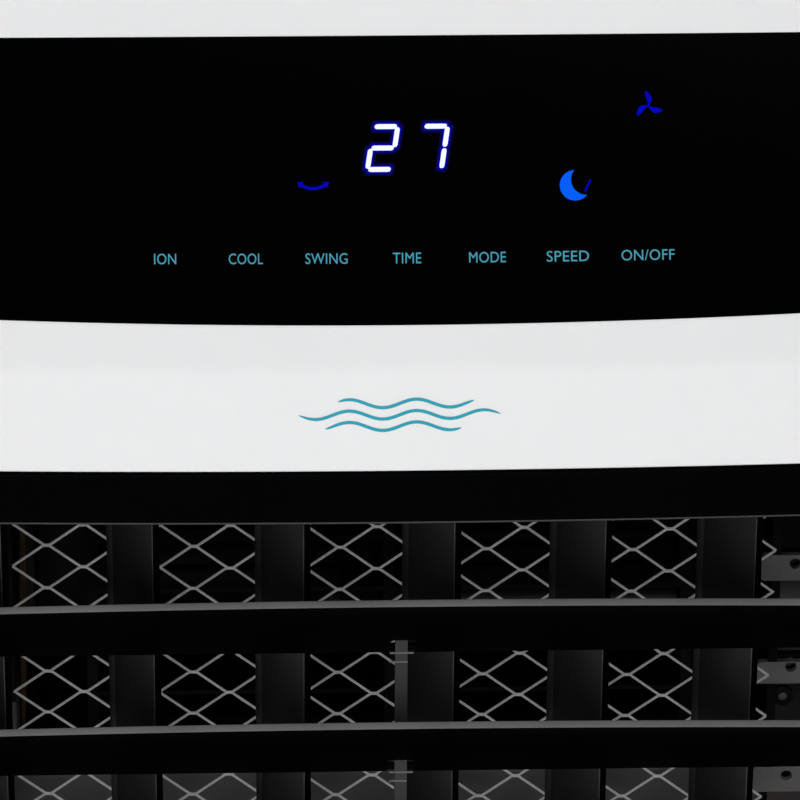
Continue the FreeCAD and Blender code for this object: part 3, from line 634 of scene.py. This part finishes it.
def flat_text(name, words, cap_height, width):
    """Block capitals as a flat mesh, centred, scaled to the given height and width."""
    curve = bpy.data.curves.new(name, "FONT")
    curve.body = words
    curve.align_x = "CENTER"
    curve.size = 10 * MM
    curve.space_character = 1.04
    curve.resolution_u = 4
    piece = baked(new_object(name, curve))
    xs = [v.co.x for v in piece.data.vertices]
    ys = [v.co.y for v in piece.data.vertices]
    middle = Vector(((min(xs) + max(xs)) / 2, (min(ys) + max(ys)) / 2, 0))
    scale = Matrix.Diagonal((width / (max(xs) - min(xs)), cap_height / (max(ys) - min(ys)), 1, 1))
    piece.data.transform(scale @ Matrix.Translation(-middle))
    return piece


KEYS = (("ion", "ION", 5.5), ("cool", "COOL", 8.5), ("swing", "SWING", 10.5),
        ("time", "TIME", 7.1), ("mode", "MODE", 9.2), ("speed", "SPEED", 10.6),
        ("power", "ON/OFF", 13.3))
KEY_PITCH = 20.1 * MM
KEY_CENTRE = 0.6 * MM
KEY_ROW = 16.8 * MM
CAP_HEIGHT = 2.7 * MM


def glass_print(name, verts, faces, x, up, material, lift=PRINT_LIFT, slant=0.0):
    """A flat lit drawing on the display glass."""
    piece = mesh_object(name, verts, faces)
    on_panel(piece, x, up, lift, slant=slant)
    dress(piece, "cabinet", material)


def key_legends():
    for index, (label, words, width) in enumerate(KEYS):
        legend = flat_text("legend_" + label, words, CAP_HEIGHT, width * MM)
        x = KEY_CENTRE + (index - len(KEYS) // 2) * KEY_PITCH
        on_panel(legend, x, KEY_ROW, PRINT_LIFT)
        dress(legend, "cabinet", LEGEND)


SEGMENT = 1.22 * MM
DIGIT_WIDE = 7.2 * MM
DIGIT_TALL = 12 * MM
DIGIT_UP = 38.5 * MM
DIGIT_SLANT = math.radians(9)
SEGMENT_ENDS = {
    "a": ((0, 1), (1, 1)), "b": ((1, 1), (1, 0.5)), "c": ((1, 0.5), (1, 0)),
    "d": ((0, 0), (1, 0)), "e": ((0, 0.5), (0, 0)), "f": ((0, 1), (0, 0.5)),
    "g": ((0, 0.5), (1, 0.5)),
}


def segment_faces(verts, faces, name, width, tall, grow):
    """One LED segment: a flat bar with blunt pointed ends."""
    (x0, y0), (x1, y1) = SEGMENT_ENDS[name]
    start = Vector(((x0 - 0.5) * (width - SEGMENT), y0 * (tall - SEGMENT) + SEGMENT / 2))
    end = Vector(((x1 - 0.5) * (width - SEGMENT), y1 * (tall - SEGMENT) + SEGMENT / 2))
    run = (end - start).normalized()
    side = Vector((-run.y, run.x)) * (SEGMENT / 2 + grow)
    half = (end - start).length / 2 - 0.22 * MM + grow
    middle = (start + end) / 2
    shape = ((0.0, 0.35), (0.35, 0.8), (1.0, 1.0))
    first = len(verts)
    for to_end, to_side, order in ((-1, 1, 1), (1, 1, -1), (1, -1, 1), (-1, -1, -1)):
        for along, across in shape[::order]:
            reach = half - along * SEGMENT / 2
            point = middle + run * to_end * reach + side * to_side * across
            verts.append((point.x, point.y, 0))
    faces.append(tuple(range(first, len(verts))))


def digit(name, lit, x, up):
    layers = [("halo_%d" % ring, grow, 0.27 + 0.01 * ring, HALOS[ring])
              for ring, grow in enumerate((1.0, 0.6, 0.3))]
    for layer, grow, lift, material in layers + [("lit", 0, 0.32, DIGIT)]:
        verts, faces = [], []
        for segment in lit:
            segment_faces(verts, faces, segment, DIGIT_WIDE, DIGIT_TALL, grow * MM)
        glass_print("%s_%s" % (name, layer), verts, faces, x, up, material, lift * MM,
                    DIGIT_SLANT)


def ring_faces(points_out, points_in):
    count = len(points_out)
    verts = [(p.x, p.y, 0) for p in points_out + points_in]
    faces = [(k, k + 1, count + k + 1, count + k) for k in range(count - 1)]
    return verts, faces


def swing_icon():
    """An arc that sags, with an arrow head at each end."""
    radius, half, thick = 5.2 * MM, math.radians(34), 0.75 * MM
    outer, inner = [], []
    for k in range(17):
        angle = -math.pi / 2 - half + 2 * half * k / 16
        out = Vector((math.cos(angle), math.sin(angle)))
        outer.append(out * (radius + thick / 2))
        inner.append(out * (radius - thick / 2))
    verts, faces = ring_faces(outer, inner)
    for side in (-1, 1):
        end = Vector((side * math.sin(half), -math.cos(half))) * radius
        run = Vector((side * math.cos(half), math.sin(half)))
        across = Vector((-run.y, run.x)) * 0.95 * MM
        first = len(verts)
        for p in (end + across, end + run * 1.3 * MM, end - across):
            verts.append((p.x, p.y, 0))
        faces.append((first, first + 1, first + 2))
    glass_print("icon_swing", verts, faces, -22.6 * MM, 34.9 * MM + radius * 0.9, ICON)


def fan_icon():
    """Three curved blades round an open middle."""
    verts, faces = [], []
    for blade in range(3):
        turn = Matrix.Rotation(math.radians(120 * blade), 2)
        lead, trail = [], []
        for k in range(9):
            t = k / 8
            radius = (0.1 + 3.5 * t) * MM
            angle = math.radians(68 + 32 * t)
            width = (0.35 + 1.1 * math.sin(math.pi * t * 0.85) ** 2) * MM / 2
            middle = Vector((math.cos(angle), math.sin(angle))) * radius
            side = Vector((-math.sin(angle), math.cos(angle))) * width
            lead.append(turn @ (middle + side))
            trail.append(turn @ (middle - side))
        first = len(verts)
        ring_verts, ring = ring_faces(lead, trail)
        verts += ring_verts
        faces += [tuple(first + i for i in face) for face in ring]
    glass_print("icon_fan", verts, faces, 61.6 * MM, 54.4 * MM, ICON)


MOON_PLACE = (42.9 * MM, 34.6 * MM)


def moon_icon():
    """A crescent open to the upper right, with a short dash across its opening."""
    outer, inner = [], []
    for k in range(33):
        t = k / 32
        angle = math.radians(92.5 + 228 * t)
        outer.append(Vector((math.cos(angle), math.sin(angle))) * 3.85 * MM)
        angle = math.radians(141.2 + 130.5 * t)
        reach = Vector((math.cos(angle), math.sin(angle))) * 3.876
        inner.append((reach + Vector((2.852, 1.423))) * MM)
    verts, faces = ring_faces(outer, inner)
    glass_print("icon_moon", verts, faces, *MOON_PLACE, MOON)
    dash = [(4.1, 1.4, 0), (3.6, 1.3, 0), (2.2, -1.5, 0), (2.7, -1.6, 0)]
    glass_print("icon_dash", [Vector(p) * MM for p in dash], [(0, 1, 2, 3)], *MOON_PLACE, ICON)


WAVE_LENGTH, WAVE_HEIGHT = 8.4, 1.05     # half a wave's length and its height, in mm


def breeze_emblem():
    """Generic mark on the band: three rows of gently waving lines."""
    pieces = []
    stroke = 0.85 * MM
    rows = ((0.0, 25.2, 0.0), (2.9, 17.0, 1.6), (-2.9, 17.0, -1.6))
    for number, (up, half, shift) in enumerate(rows):
        outer, inner = [], []
        count = 72
        for k in range(count + 1):
            t = -1 + 2 * k / count
            x = (t * half + shift) * MM
            turn = x / (WAVE_LENGTH * MM) * math.pi
            wave = math.sin(turn) * WAVE_HEIGHT * MM
            slope = math.cos(turn) * math.pi * WAVE_HEIGHT / WAVE_LENGTH
            side = Vector((-slope, 1)).normalized()
            taper = math.sqrt(max(1 - abs(t) ** 10, 0.02)) * stroke / 2
            middle = Vector((x, up * MM + wave))
            outer.append(middle + side * taper)
            inner.append(middle - side * taper)
        verts, faces = ring_faces(outer, inner)
        pieces.append(mesh_object("wave_%d" % number, verts, faces))
    emblem = join("band_emblem", pieces)
    on_panel(emblem, -1.6 * MM, 14.8 * MM, 0.06 * MM, band_point)
    dress(emblem, "cabinet", TEAL)


# ---- outlet frame and panels
def outlet_frame():
    """Black front frame with its sleeve and a fine lighter lip round the mouth, a painted highlight
    of its lit edge.
    """
    mouth_x = RING_HIGH.x - 3.5 * MM
    low, high = RING_LOW.z + 8 * MM, RING_HIGH.z - 8 * MM
    face = skin("outlet_face", OUTLET_FOOT_AT + SEAM, BAND_AT - SEAM, 3 * MM,
                (-mouth_x, mouth_x, low, high))
    dress(face, "cabinet", BLACK)
    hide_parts("outlet_frame")
    sleeve_front, sleeve_back = FRONT + 1 * MM, OUTLET_HIGH.y
    wall = 3.5 * MM
    outer = rounded_box_outline(-mouth_x - wall, mouth_x + wall, low - wall, high + wall, 1.5 * MM)
    inner = rounded_box_outline(-mouth_x, mouth_x, low, high, 0.6 * MM)
    matrix = Matrix.Translation((0, (sleeve_front + sleeve_back) / 2, 0)) @ UPRIGHT
    sleeve = plate("outlet_sleeve", [outer, inner], sleeve_back - sleeve_front, 0.3 * MM, matrix)
    for vertex in sleeve.data.vertices:
        share = (sleeve_back - vertex.co.y) / (sleeve_back - sleeve_front)
        vertex.co.y += bow(vertex.co.x) * max(share, 0)
    dress(sleeve, "cabinet", BLACK)
    # Thin lighter ring along the mouth's edge: painted highlight.
    lip_wide = 0.33 * MM
    corners = [(-mouth_x, low), (mouth_x, low), (mouth_x, high), (-mouth_x, high)]
    bars = []
    for (x0, z0), (x1, z1) in zip(corners, corners[1:] + corners[:1]):
        steps = 16 if z0 == z1 else 1
        for k in range(steps):
            a = Vector((x0 + (x1 - x0) * k / steps, 0, z0 + (z1 - z0) * k / steps))
            b = Vector((x0 + (x1 - x0) * (k + 1) / steps, 0, z0 + (z1 - z0) * (k + 1) / steps))
            a.y, b.y = FRONT + bow(a.x) + 0.3 * MM, FRONT + bow(b.x) + 0.3 * MM
            bars.append(bar("lip", a, b, lip_wide, 8))
    lip = tidy(join("outlet_lip_highlight", bars), 60)
    dress(lip, "cabinet", MOUTH_HIGHLIGHT)


UPRIGHT = Matrix(((1, 0, 0, 0), (0, 0, 1, 0), (0, 1, 0, 0), (0, 0, 0, 1)))
SIDEWAYS = Matrix(((0, 0, 1, 0), (1, 0, 0, 0), (0, 1, 0, 0), (0, 0, 0, 1)))


def front_lower_panel():
    low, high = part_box("water_level_window")
    rim = 0.3 * MM
    x0, x1 = low.x - rim, high.x + rim
    panel = skin("lower_front_shell", 0.2 * MM, OUTLET_FOOT_AT - SEAM, 2.5 * MM,
                 (x0, x1, low.z - rim, high.z + rim), step=12 * MM)
    dress(panel, "cabinet", WHITE)
    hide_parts("front_lower_panel")
    front = FRONT + bow(x1)
    outer = rounded_box_outline(x0 - 1.6 * MM, x1 + 1.6 * MM, low.z - 1.9 * MM, high.z + 1.9 * MM,
                                4 * MM)
    inner = rounded_box_outline(x0 + 0.6 * MM, x1 - 0.6 * MM, low.z + 0.3 * MM, high.z - 0.3 * MM,
                                2.4 * MM)
    frame_y = Matrix.Translation((0, front - 0.2 * MM, 0)) @ UPRIGHT
    surround = plate("window_surround", [outer, inner], 1.6 * MM, 0.4 * MM, frame_y)
    dress(surround, "cabinet", BLACK)
    marks = []
    for k in range(7):
        height = low.z + (high.z - low.z) * (k + 1) / 8
        reach = 4 * MM if k in (0, 6) else 2.4 * MM
        start = Vector((x0 + 1.4 * MM, front - 0.05 * MM, height))
        marks.append(bar("mark", start, start + Vector((reach, 0, 0)), 0.35 * MM, 6))
    ticks = join("level_marks", marks)
    dress(ticks, "cabinet", TEAL)


DISH_X = 130 * MM
DISH_MARGIN = 25 * MM
DISH_DEPTH = 1.2 * MM


def top_cover():
    """Flat lid with a shallow dished middle."""
    y0, y1 = LID_SEAM + DISH_MARGIN, BACK - DISH_MARGIN
    soft = 1.6 * MM

    def dip(x, y):
        edge = min(DISH_X - abs(x), y - y0, y1 - y)
        t = min(max(edge / soft, 0), 1)
        return DISH_DEPTH * t * t * (3 - 2 * t)

    marks_x = [side * (DISH_X - soft * k / 4) for side in (-1, 1) for k in range(5)]
    marks_s = []
    for k in range(5):
        for y in (y0 + soft * k / 4, y1 - soft * k / 4):
            marks_s.append(LID_AT + y - LID_SEAM)
    lid = skin("top_cover_shell", LID_AT + SEAM, LENGTHS[-1], 3 * MM, extra_x=marks_x,
               extra_s=marks_s, dip=dip, step=10 * MM)
    dress(lid, "cabinet", WHITE)
    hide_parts("top_cover")


def side_outline():
    """Side panel's outline in (y, z), just inside the rounded outer edge."""
    points = []
    for station in [0.2 * MM] + LENGTHS[1:]:
        point = profile_at(station)[0]
        inward = smooth_normal(station)
        inset = EDGE_ROUND + SEAM
        y = point.x + inward.x * inset + bow(HALF) * bow_share(point.x)
        points.append((y, point.y + inward.y * inset))
    points[-1] = (BACK - 0.2 * MM, points[-1][1])
    points.append((BACK - 0.2 * MM, FOOT + 0.2 * MM))
    return points


GRIP_HALF, GRIP_LOW, GRIP_HIGH = 43.5 * MM, 522.5 * MM, 553.5 * MM
GRIP_DEPTH = 24                          # mm
SIDE_WALL = 2.6 * MM


def side_panel(name, side):
    """Flat side with a recessed hand grip."""
    hole = rounded_box_outline(-GRIP_HALF, GRIP_HALF, GRIP_LOW, GRIP_HIGH, 7 * MM)
    matrix = Matrix.Translation((side * (HALF - SIDE_WALL / 2), 0, 0)) @ SIDEWAYS
    panel = plate(name + "_shell", [side_outline(), hole], SIDE_WALL, 0.5 * MM, matrix)
    dress(panel, "cabinet", WHITE)
    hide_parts(name)
    verts, faces = [], []
    count = len(hole)
    middle_z = (GRIP_LOW + GRIP_HIGH) / 2
    layers = ((0.4, 0.0), (4, 0.3), (GRIP_DEPTH - 4, 1.2), (GRIP_DEPTH - 1, 2.4),
              (GRIP_DEPTH, 4.5))
    for into, shrink in layers:
        for y, z in hole:
            sy = y * (1 - shrink * MM / GRIP_HALF)
            sz = middle_z + (z - middle_z) * (1 - shrink * MM / (GRIP_HIGH - middle_z))
            verts.append((side * (HALF - into * MM), sy, sz))
    for layer in range(len(layers) - 1):
        for k in range(count):
            j = (k + 1) % count
            a = layer * count
            faces.append((a + k, a + j, a + count + j, a + count + k))
    faces.append(tuple(range((len(layers) - 1) * count, len(layers) * count)))
    cup = tidy(mesh_object(name + "_grip", verts, faces), 50)
    solidify(cup, 1.8 * MM, 0)
    dress(cup, "cabinet", WHITE)


# ---- louvres and vanes
def tilted(joint, angle):
    """Matrix that carries a louvre drawn flat and level at the origin to its rest place."""
    pivot = Vector(JOINTS[joint]["pos_m"])
    return Matrix.Translation(pivot) @ Matrix.Rotation(angle, 4, "X")


LOUVRE_TILT = math.radians(-49)
LOUVRE_HALF = 137.3 * MM
LOUVRE_CHORD = 32 * MM
LOUVRE_THICK = 2 * MM
NOTCH_HALF, NOTCH_AT = 3.45 * MM, 7.6 * MM
LINK_ARM = 14 * MM                       # from a louvre's pivot to its cross pin
PIN_END = 141.4 * MM


def louvre(number):
    """Blade with a bowed front edge; its front rim is a lighter grey, a painted highlight of the lit
    edge.
    """
    name = "louvre_%d" % number
    front = -LOUVRE_CHORD / 2
    rear = LOUVRE_CHORD / 2
    steps = 40
    outline = []
    for k in range(steps + 1):
        x = LOUVRE_HALF * (-1 + 2 * k / steps)
        outline.append((x, front + bow(x)))
    outline += [(LOUVRE_HALF, rear), (NOTCH_HALF, rear), (NOTCH_HALF, NOTCH_AT),
                (-NOTCH_HALF, NOTCH_AT), (-NOTCH_HALF, rear), (-LOUVRE_HALF, rear)]
    blade = plate("blade", [outline], LOUVRE_THICK, 0.3 * MM)
    pins = []
    for side in (-1, 1):
        pins.append(bar("pin", (side * (LOUVRE_HALF - 3 * MM), 0, 0),
                        (side * PIN_END, 0, 0), 2.35 * MM, 20))
        pins.append(bar("hub", (side * (LOUVRE_HALF - 9 * MM), 0, 0),
                        (side * (LOUVRE_HALF + 0.4 * MM), 0, 0), 2.9 * MM, 20))
    pins.append(bar("cross", (-3.6 * MM, LINK_ARM, 0), (3.6 * MM, LINK_ARM, 0), 0.98 * MM, 14))
    piece = tidy(join(name + "_blade", [blade] + pins), 40)
    # Front rim faces take the lighter grey as a painted highlight; the rest is the blade's own black.
    paint(piece, [BLADE, EDGE], lambda face: int(
        face.center.y - bow(face.center.x) < front + 0.45 * MM and face.normal.y < -0.3))
    piece.data.transform(tilted(name + "_tilt", LOUVRE_TILT))
    dress(piece, name, BLADE)
    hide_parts(name)


VANE_TURN = math.radians(22.6)
VANE_LOW, VANE_HIGH = 356 * MM, 550 * MM
CRANK_ARM = 20 * MM


def vane(number):
    """Upright blade with a rounded front edge, a spindle at its rear edge and a crank pin below; its
    front face has painted shade and its left-facing front rim a painted highlight.
    """
    name = "vane_%d" % number
    pivot = Vector(JOINTS[name + "_swing"]["pos_m"])
    outline = rounded_box_outline(-29.9 * MM, 1.0 * MM, VANE_LOW, VANE_HIGH, 1.5 * MM, 4)
    blade = plate("blade", [outline], 2.1 * MM, 0.2 * MM, SIDEWAYS, steps=1)
    spine = bar("spine", (0, 0, 345.2 * MM), (0, 0, 556.8 * MM), 1.95 * MM, 18)
    crank = bar("crank", (0, -CRANK_ARM, 351.4 * MM), (0, -CRANK_ARM, 357 * MM), 1.45 * MM, 16)
    piece = tidy(join(name + "_blade", [blade, spine, crank]), 40)
    # Front faces get painted shade and left-facing front rims a painted highlight; the rest is the
    # vane's own black.
    paint(piece, [VANE, VANE_FRONT_SHADE, VANE_RIM_HIGHLIGHT], lambda face: 0 if (
        face.center.y > -29.3 * MM or face.normal.y > -0.3) else 1 + (face.normal.x < -0.3))
    turn = Matrix.Rotation(VANE_TURN, 4, "Z")
    piece.data.transform(Matrix.Translation((pivot.x, pivot.y, 0)) @ turn)
    dress(piece, name, VANE)
    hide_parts(name)


# ---- guard mesh
CELL_WIDE, CELL_TALL = 19.8 * MM, 12.75 * MM
NODE_X, NODE_Z = 5.2 * MM, 502.1 * MM     # one crossing of the mesh
MESH_SKEW = 0.0155                        # the sheet sits slightly askew in its frame
MESH_DROP = 0.0195
MESH_MIDDLE = 480 * MM
STRAND_RADIUS, FLAT_RADIUS = 0.36 * MM, 0.46 * MM


def guard_mesh():
    """Expanded diamond mesh: slanting strands with short flats where they cross."""
    y = (MESH_LOW.y + MESH_HIGH.y) / 2
    x0, x1, z0, z1 = MESH_LOW.x - 1.3 * MM, MESH_HIGH.x + 1.3 * MM, MESH_LOW.z, MESH_HIGH.z
    strands = []
    half_wide, half_tall = CELL_WIDE / 2, CELL_TALL / 2
    flat = 1.1 * MM
    columns = range(int((x0 - NODE_X) / half_wide) - 1, int((x1 - NODE_X) / half_wide) + 2)
    rows = range(int((z0 - NODE_Z) / half_tall) - 1, int((z1 - NODE_Z) / half_tall) + 2)
    for column in columns:
        for row in rows:
            if (column + row) % 2:
                continue
            node = Vector((NODE_X + column * half_wide, y, NODE_Z + row * half_tall))
            node.x += MESH_SKEW * (node.z - MESH_MIDDLE)
            node.z -= MESH_DROP * node.x
            node += Vector((random.uniform(-0.1, 0.1), 0, random.uniform(-0.1, 0.1))) * MM
            if x0 + flat < node.x < x1 - flat and z0 < node.z < z1:
                strands.append(bar("flat", node - Vector((flat, 0, 0)), node + Vector((flat, 0, 0)),
                                   FLAT_RADIUS, 6, 0.8))
            for side in (-1, 1):
                start = node + Vector((flat * side * 0.7, 0, 0.1 * MM))
                end = node + Vector((half_wide * side - flat * side * 0.7, 0,
                                     half_tall - MESH_DROP * half_wide * side))
                start, end = clipped(start, end, x0, x1, z0, z1)
                if start is not None:
                    strands.append(bar("strand", start, end, STRAND_RADIUS, 6))
    mesh = tidy(join("guard_mesh_strands", strands), 60, 0.001 * MM)
    dress(mesh, "cabinet", MESH)
    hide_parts("guard_mesh")


def clipped(start, end, x0, x1, z0, z1):
    """The part of a strand that lies inside the mesh's outline."""
    lower, upper = 0.0, 1.0
    step = end - start
    for origin, run, low, high in ((start.x, step.x, x0, x1), (start.z, step.z, z0, z1)):
        if abs(run) < 1e-9:
            continue
        a, b = sorted(((low - origin) / run, (high - origin) / run))
        lower, upper = max(lower, a), min(upper, b)
    if upper - lower < 0.08:
        return None, None
    return start + step * lower, start + step * upper


# ---- fittings
def link_clips():
    """Snap clips of the louvre link, one pair of ridges below each louvre's cross pin."""
    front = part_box("louvre_link")[0].y
    ridges = []
    for number in range(1, 6):
        pivot = Vector(JOINTS["louvre_%d_tilt" % number]["pos_m"])
        height = pivot.z + LINK_ARM * math.sin(LOUVRE_TILT) - 0.9 * MM
        for drop, left, right in ((0, -3.05, 3.2), (2.6, -3.05, 1.6)):
            z = height - drop * MM
            ridges.append(bar("ridge", (left * MM, front + 0.1 * MM, z),
                              (right * MM, front + 0.1 * MM, z), 0.28 * MM, 6))
    clips = join("louvre_link_clips", ridges)
    dress(clips, "louvre_link", CLIP)


LUGS = ((424.9, 7.9), (458.9, 6.8), (490.6, 7.9))     # foot and height, in mm
LUG_LEFT, LUG_RIGHT = 99.9 * MM, 118.6 * MM
LUG_THICK = 2.2 * MM
LUG_HOLE_X, LUG_HOLE_UP = 109.3 * MM, 5.2


def cover_lugs():
    """Screw lugs of the scroll cover beside the mesh, and the screw under the middle one."""
    front = MESH_HIGH.y - 0.3 * MM
    for number, (low, tall) in enumerate(LUGS):
        outline = rounded_box_outline(LUG_LEFT, LUG_RIGHT, low * MM, (low + tall) * MM, 1.4 * MM)
        hole = circle_outline(LUG_HOLE_X, (low + LUG_HOLE_UP) * MM, 1.5 * MM)
        place = Matrix.Translation((0, front + 1.2 * MM, 0)) @ UPRIGHT
        lug = plate("cover_lug_%d" % number, [outline, hole], LUG_THICK, 0.3 * MM, place)
        dress(lug, "cabinet", LUG)
    at = (107.3 * MM, front - 0.5 * MM, 455.4 * MM)
    seat = lathe("lug_screw_seat", [(1.6 * MM, 2.9 * MM), (0.1 * MM, 2.9 * MM), (0, 2.6 * MM),
                                    (0, 0.01 * MM)], (0, 1, 0), at, 32)
    dress(seat, "cabinet", MATT)
    head = lathe("lug_screw_head", [(0.2 * MM, 1.3 * MM), (-0.2 * MM, 1.1 * MM),
                                    (-0.4 * MM, 0.6 * MM), (-0.45 * MM, 0.01 * MM)],
                 (0, 1, 0), at, 24)
    dress(head, "cabinet", CLIP)


def mirrored(profile):
    """Half of a symmetric profile followed by its other half."""
    return profile + [(-along, radius) for along, radius in reversed(profile)]


def caster_wheel(label):
    """Rounded rubber tyre on a hub with a raised boss."""
    low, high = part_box(label + "_wheel")
    middle = (low + high) / 2
    radius, half = (high.z - low.z) / 2, (high.x - low.x) / 2
    bore = 3.4 * MM
    tyre = mirrored([(-half + 0.8 * MM, radius - 5.5 * MM), (-half, radius - 5 * MM),
                     (-half, radius - 2.6 * MM), (-half + 0.9 * MM, radius - 0.8 * MM),
                     (-half + 2.6 * MM, radius)])
    body = label + "_tyre"
    ring = lathe(label + "_tyre_ring", tyre, (1, 0, 0), middle, 64, closed=True)
    dress(ring, body, TYRE)
    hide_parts(label + "_wheel")
    web = half - 2 * MM
    hub = mirrored([(-half, bore), (-half, bore + 2.6 * MM), (-half + 0.6 * MM, bore + 3.2 * MM),
                    (-web, bore + 3.6 * MM), (-web, radius - 5.7 * MM)])
    core = lathe(label + "_hub", hub, (1, 0, 0), middle, 48, closed=True)
    dress(core, body, HUB)


SCREW_ROWS = ((190, 70), (330, 70), (500, 30), (670, 60))     # height in mm, turn in degrees


def screw_recesses():
    """Dark crosses on the heads of the case screws: painted shade standing for their recesses."""
    low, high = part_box("case_screws")
    head = 3.8 * MM
    bars = []
    for x in (low.x + head, high.x - head):
        for z, start in SCREW_ROWS:
            place = Vector((x, high.y + 0.02 * MM, z * MM))
            for turn in (start, start + 90):
                run = Vector((math.cos(math.radians(turn)), 0, math.sin(math.radians(turn))))
                bars.append(bar("slot", place - run * 2 * MM, place + run * 2 * MM, 0.42 * MM, 6,
                                0.3))
    # Flat dark bars: painted shade of the cross recesses.
    slots = join("case_screw_recess_shade", bars)
    dress(slots, "cabinet", MATT)


def gland_ribs():
    """Finger ribs round the nose of the cord gland."""
    low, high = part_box("cord_gland")
    x, z = (low.x + high.x) / 2, (low.z + high.z) / 2
    ribs = []
    for k in range(14):
        angle = 2 * math.pi * k / 14
        out = Vector((math.cos(angle), 0, math.sin(angle))) * 4.9 * MM
        start = Vector((x, high.y - 5.5 * MM, z)) + out
        ribs.append(bar("rib", start, start + Vector((0, 4.6 * MM, 0)), 0.5 * MM, 8))
    nut = join("cord_gland_ribs", ribs)
    dress(nut, "cabinet", MATT)


# ---- carried-over CAD nodes
def carry_over():
    """CAD nodes that show as they are: fine edge rounding and a material each."""
    plan = {
        "vane_frame": (BLACK, 0.4), "swing_motor": (STEEL, 0.5), "louvre_link": (LINK, 0.3),
        "vane_link": (MATT, 0.3), "scroll_housing": (SCROLL, 0.5), "scroll_cover": (MATT, 0.5),
        "blower_wheel": (MATT, 0), "motor_shaft": (SHADED_STEEL, 0.3), "fan_motor": (SILVER, 1.5),
        "motor_bracket": (SHADED_STEEL, 0.4), "display_board": (BOARD, 0.2), "main_board": (BOARD, 0.4),
        "run_capacitor": (MATT, 1.5), "ionizer_module": (MATT, 1), "electronics_deck": (MATT, 0.5),
        "water_level_window": (WINDOW, 0.4), "rear_frame": (WHITE, 0.6), "cord_gland": (MATT, 0.7),
        "water_tray": (HOUSING, 0.6), "riser_hose": (HOSE, 0.4), "drip_shelf": (MATT, 0.5),
        "base_tray": (CASTER, 1.2), "rear_grille": (WHITE, 0.7), "dust_filter": (NET, 0.4),
        "pad_frame": (HOUSING, 0.6), "cooling_pad": (KRAFT, 0.3), "water_tank": (TANK, 1.0),
        "pump": (MATT, 1.0), "pump_impeller": (WHITE, 0.2), "ice_packs": (ICE, 3.0),
        "tank_latch": (MATT, 0.8), "case_screws": (STEEL, 0.4),
    }
    for name in ("front_left", "front_right", "rear_left", "rear_right"):
        plan[name + "_fork"] = (CASTER, 0.8)
    for name, (material, width) in plan.items():
        node = frame["nodes"][name]
        node.data.materials.clear()
        node.data.materials.append(material)
        if width:
            bevel(node, width * MM, 2, 40)


# ---- stage, light and camera
def area_light(name, place, target, size, power):
    data = bpy.data.lights.new(name, "AREA")
    data.shape = "RECTANGLE"
    data.size, data.size_y = size
    data.energy = power
    lamp = new_object(name, data)
    lamp.location = place
    aim = (Vector(target) - Vector(place)).to_track_quat("-Z", "Y")
    lamp.rotation_euler = aim.to_euler()
    lamp.visible_camera = False


LIGHTS = (
    ("soft_front", (-0.3, -2.9, 0.9), (2.6, 1.5), 34),
    ("soft_top", (0.0, 0.1, 3.3), (2.6, 2.6), 12),
    ("soft_high_front", (-0.3, -1.7, 2.9), (2.4, 1.4), 18),
    ("soft_right", (2.7, -0.9, 1.4), (1.8, 2.0), 10),
    ("soft_left", (-2.8, -0.6, 1.3), (1.8, 2.0), 10),
    ("soft_rear", (0.6, 2.9, 2.1), (2.4, 1.8), 26),
)
WORLD_STRENGTH = 0.2


def stage():
    size = 20
    floor = mesh_object("studio_floor", [(-size, -size, 0), (size, -size, 0), (size, size, 0),
                                         (-size, size, 0)], [(0, 1, 2, 3)])
    floor.data.materials.append(plastic("floor_pale", (0.78, 0.78, 0.77), 0.7, 0.1, vary=0.02,
                                        blotch=3, bump=0.02, grain=200))
    world = bpy.data.worlds.new("studio")
    bpy.context.scene.world = world
    world.use_nodes = True
    background = world.node_tree.nodes["Background"]
    settle(background, Color=(1, 1, 1, 1), Strength=WORLD_STRENGTH)
    for name, place, size, power in LIGHTS:
        area_light(name, place, (0, 0, 0.55), size, power)
    bpy.context.scene.view_settings.view_transform = "Standard"


def camera():
    """Close view from above the front, a little to the left, with a long lens."""
    look_down, look_right, roll = math.radians(25), math.radians(2.175), math.radians(0.37)
    place = Vector((-45.5, -1318.7, 1124.4)) * MM
    forward = Vector((math.sin(look_right) * math.cos(look_down),
                      math.cos(look_right) * math.cos(look_down), -math.sin(look_down)))
    right = Vector((math.cos(look_right), -math.sin(look_right), 0))
    up = right.cross(forward)
    rolled_right = right * math.cos(roll) + up * math.sin(roll)
    rolled_up = up * math.cos(roll) - right * math.sin(roll)
    data = bpy.data.cameras.new("camera")
    data.sensor_width = 36
    data.lens = 230.8
    data.clip_start, data.clip_end = 0.05, 60
    eye = new_object("camera", data)
    rotation = Matrix((rolled_right, rolled_up, -forward)).transposed()
    eye.matrix_world = Matrix.Translation(place) @ rotation.to_4x4()
    bpy.context.scene.camera = eye


# ---- build
camera()
stage()
control_fascia()
display_glass()
key_legends()
digit("digit_tens", "abged", -6.1 * MM, DIGIT_UP)
digit("digit_units", "abc", 6.4 * MM, DIGIT_UP)
swing_icon()
fan_icon()
moon_icon()
breeze_emblem()
outlet_frame()
front_lower_panel()
top_cover()
side_panel("left_side_panel", -1)
side_panel("right_side_panel", 1)
for louvre_number in range(1, 6):
    louvre(louvre_number)
for vane_number in range(1, 8):
    vane(vane_number)
guard_mesh()
link_clips()
cover_lugs()
for caster_label in ("front_left", "front_right", "rear_left", "rear_right"):
    caster_wheel(caster_label)
screw_recesses()
gland_ribs()
carry_over()
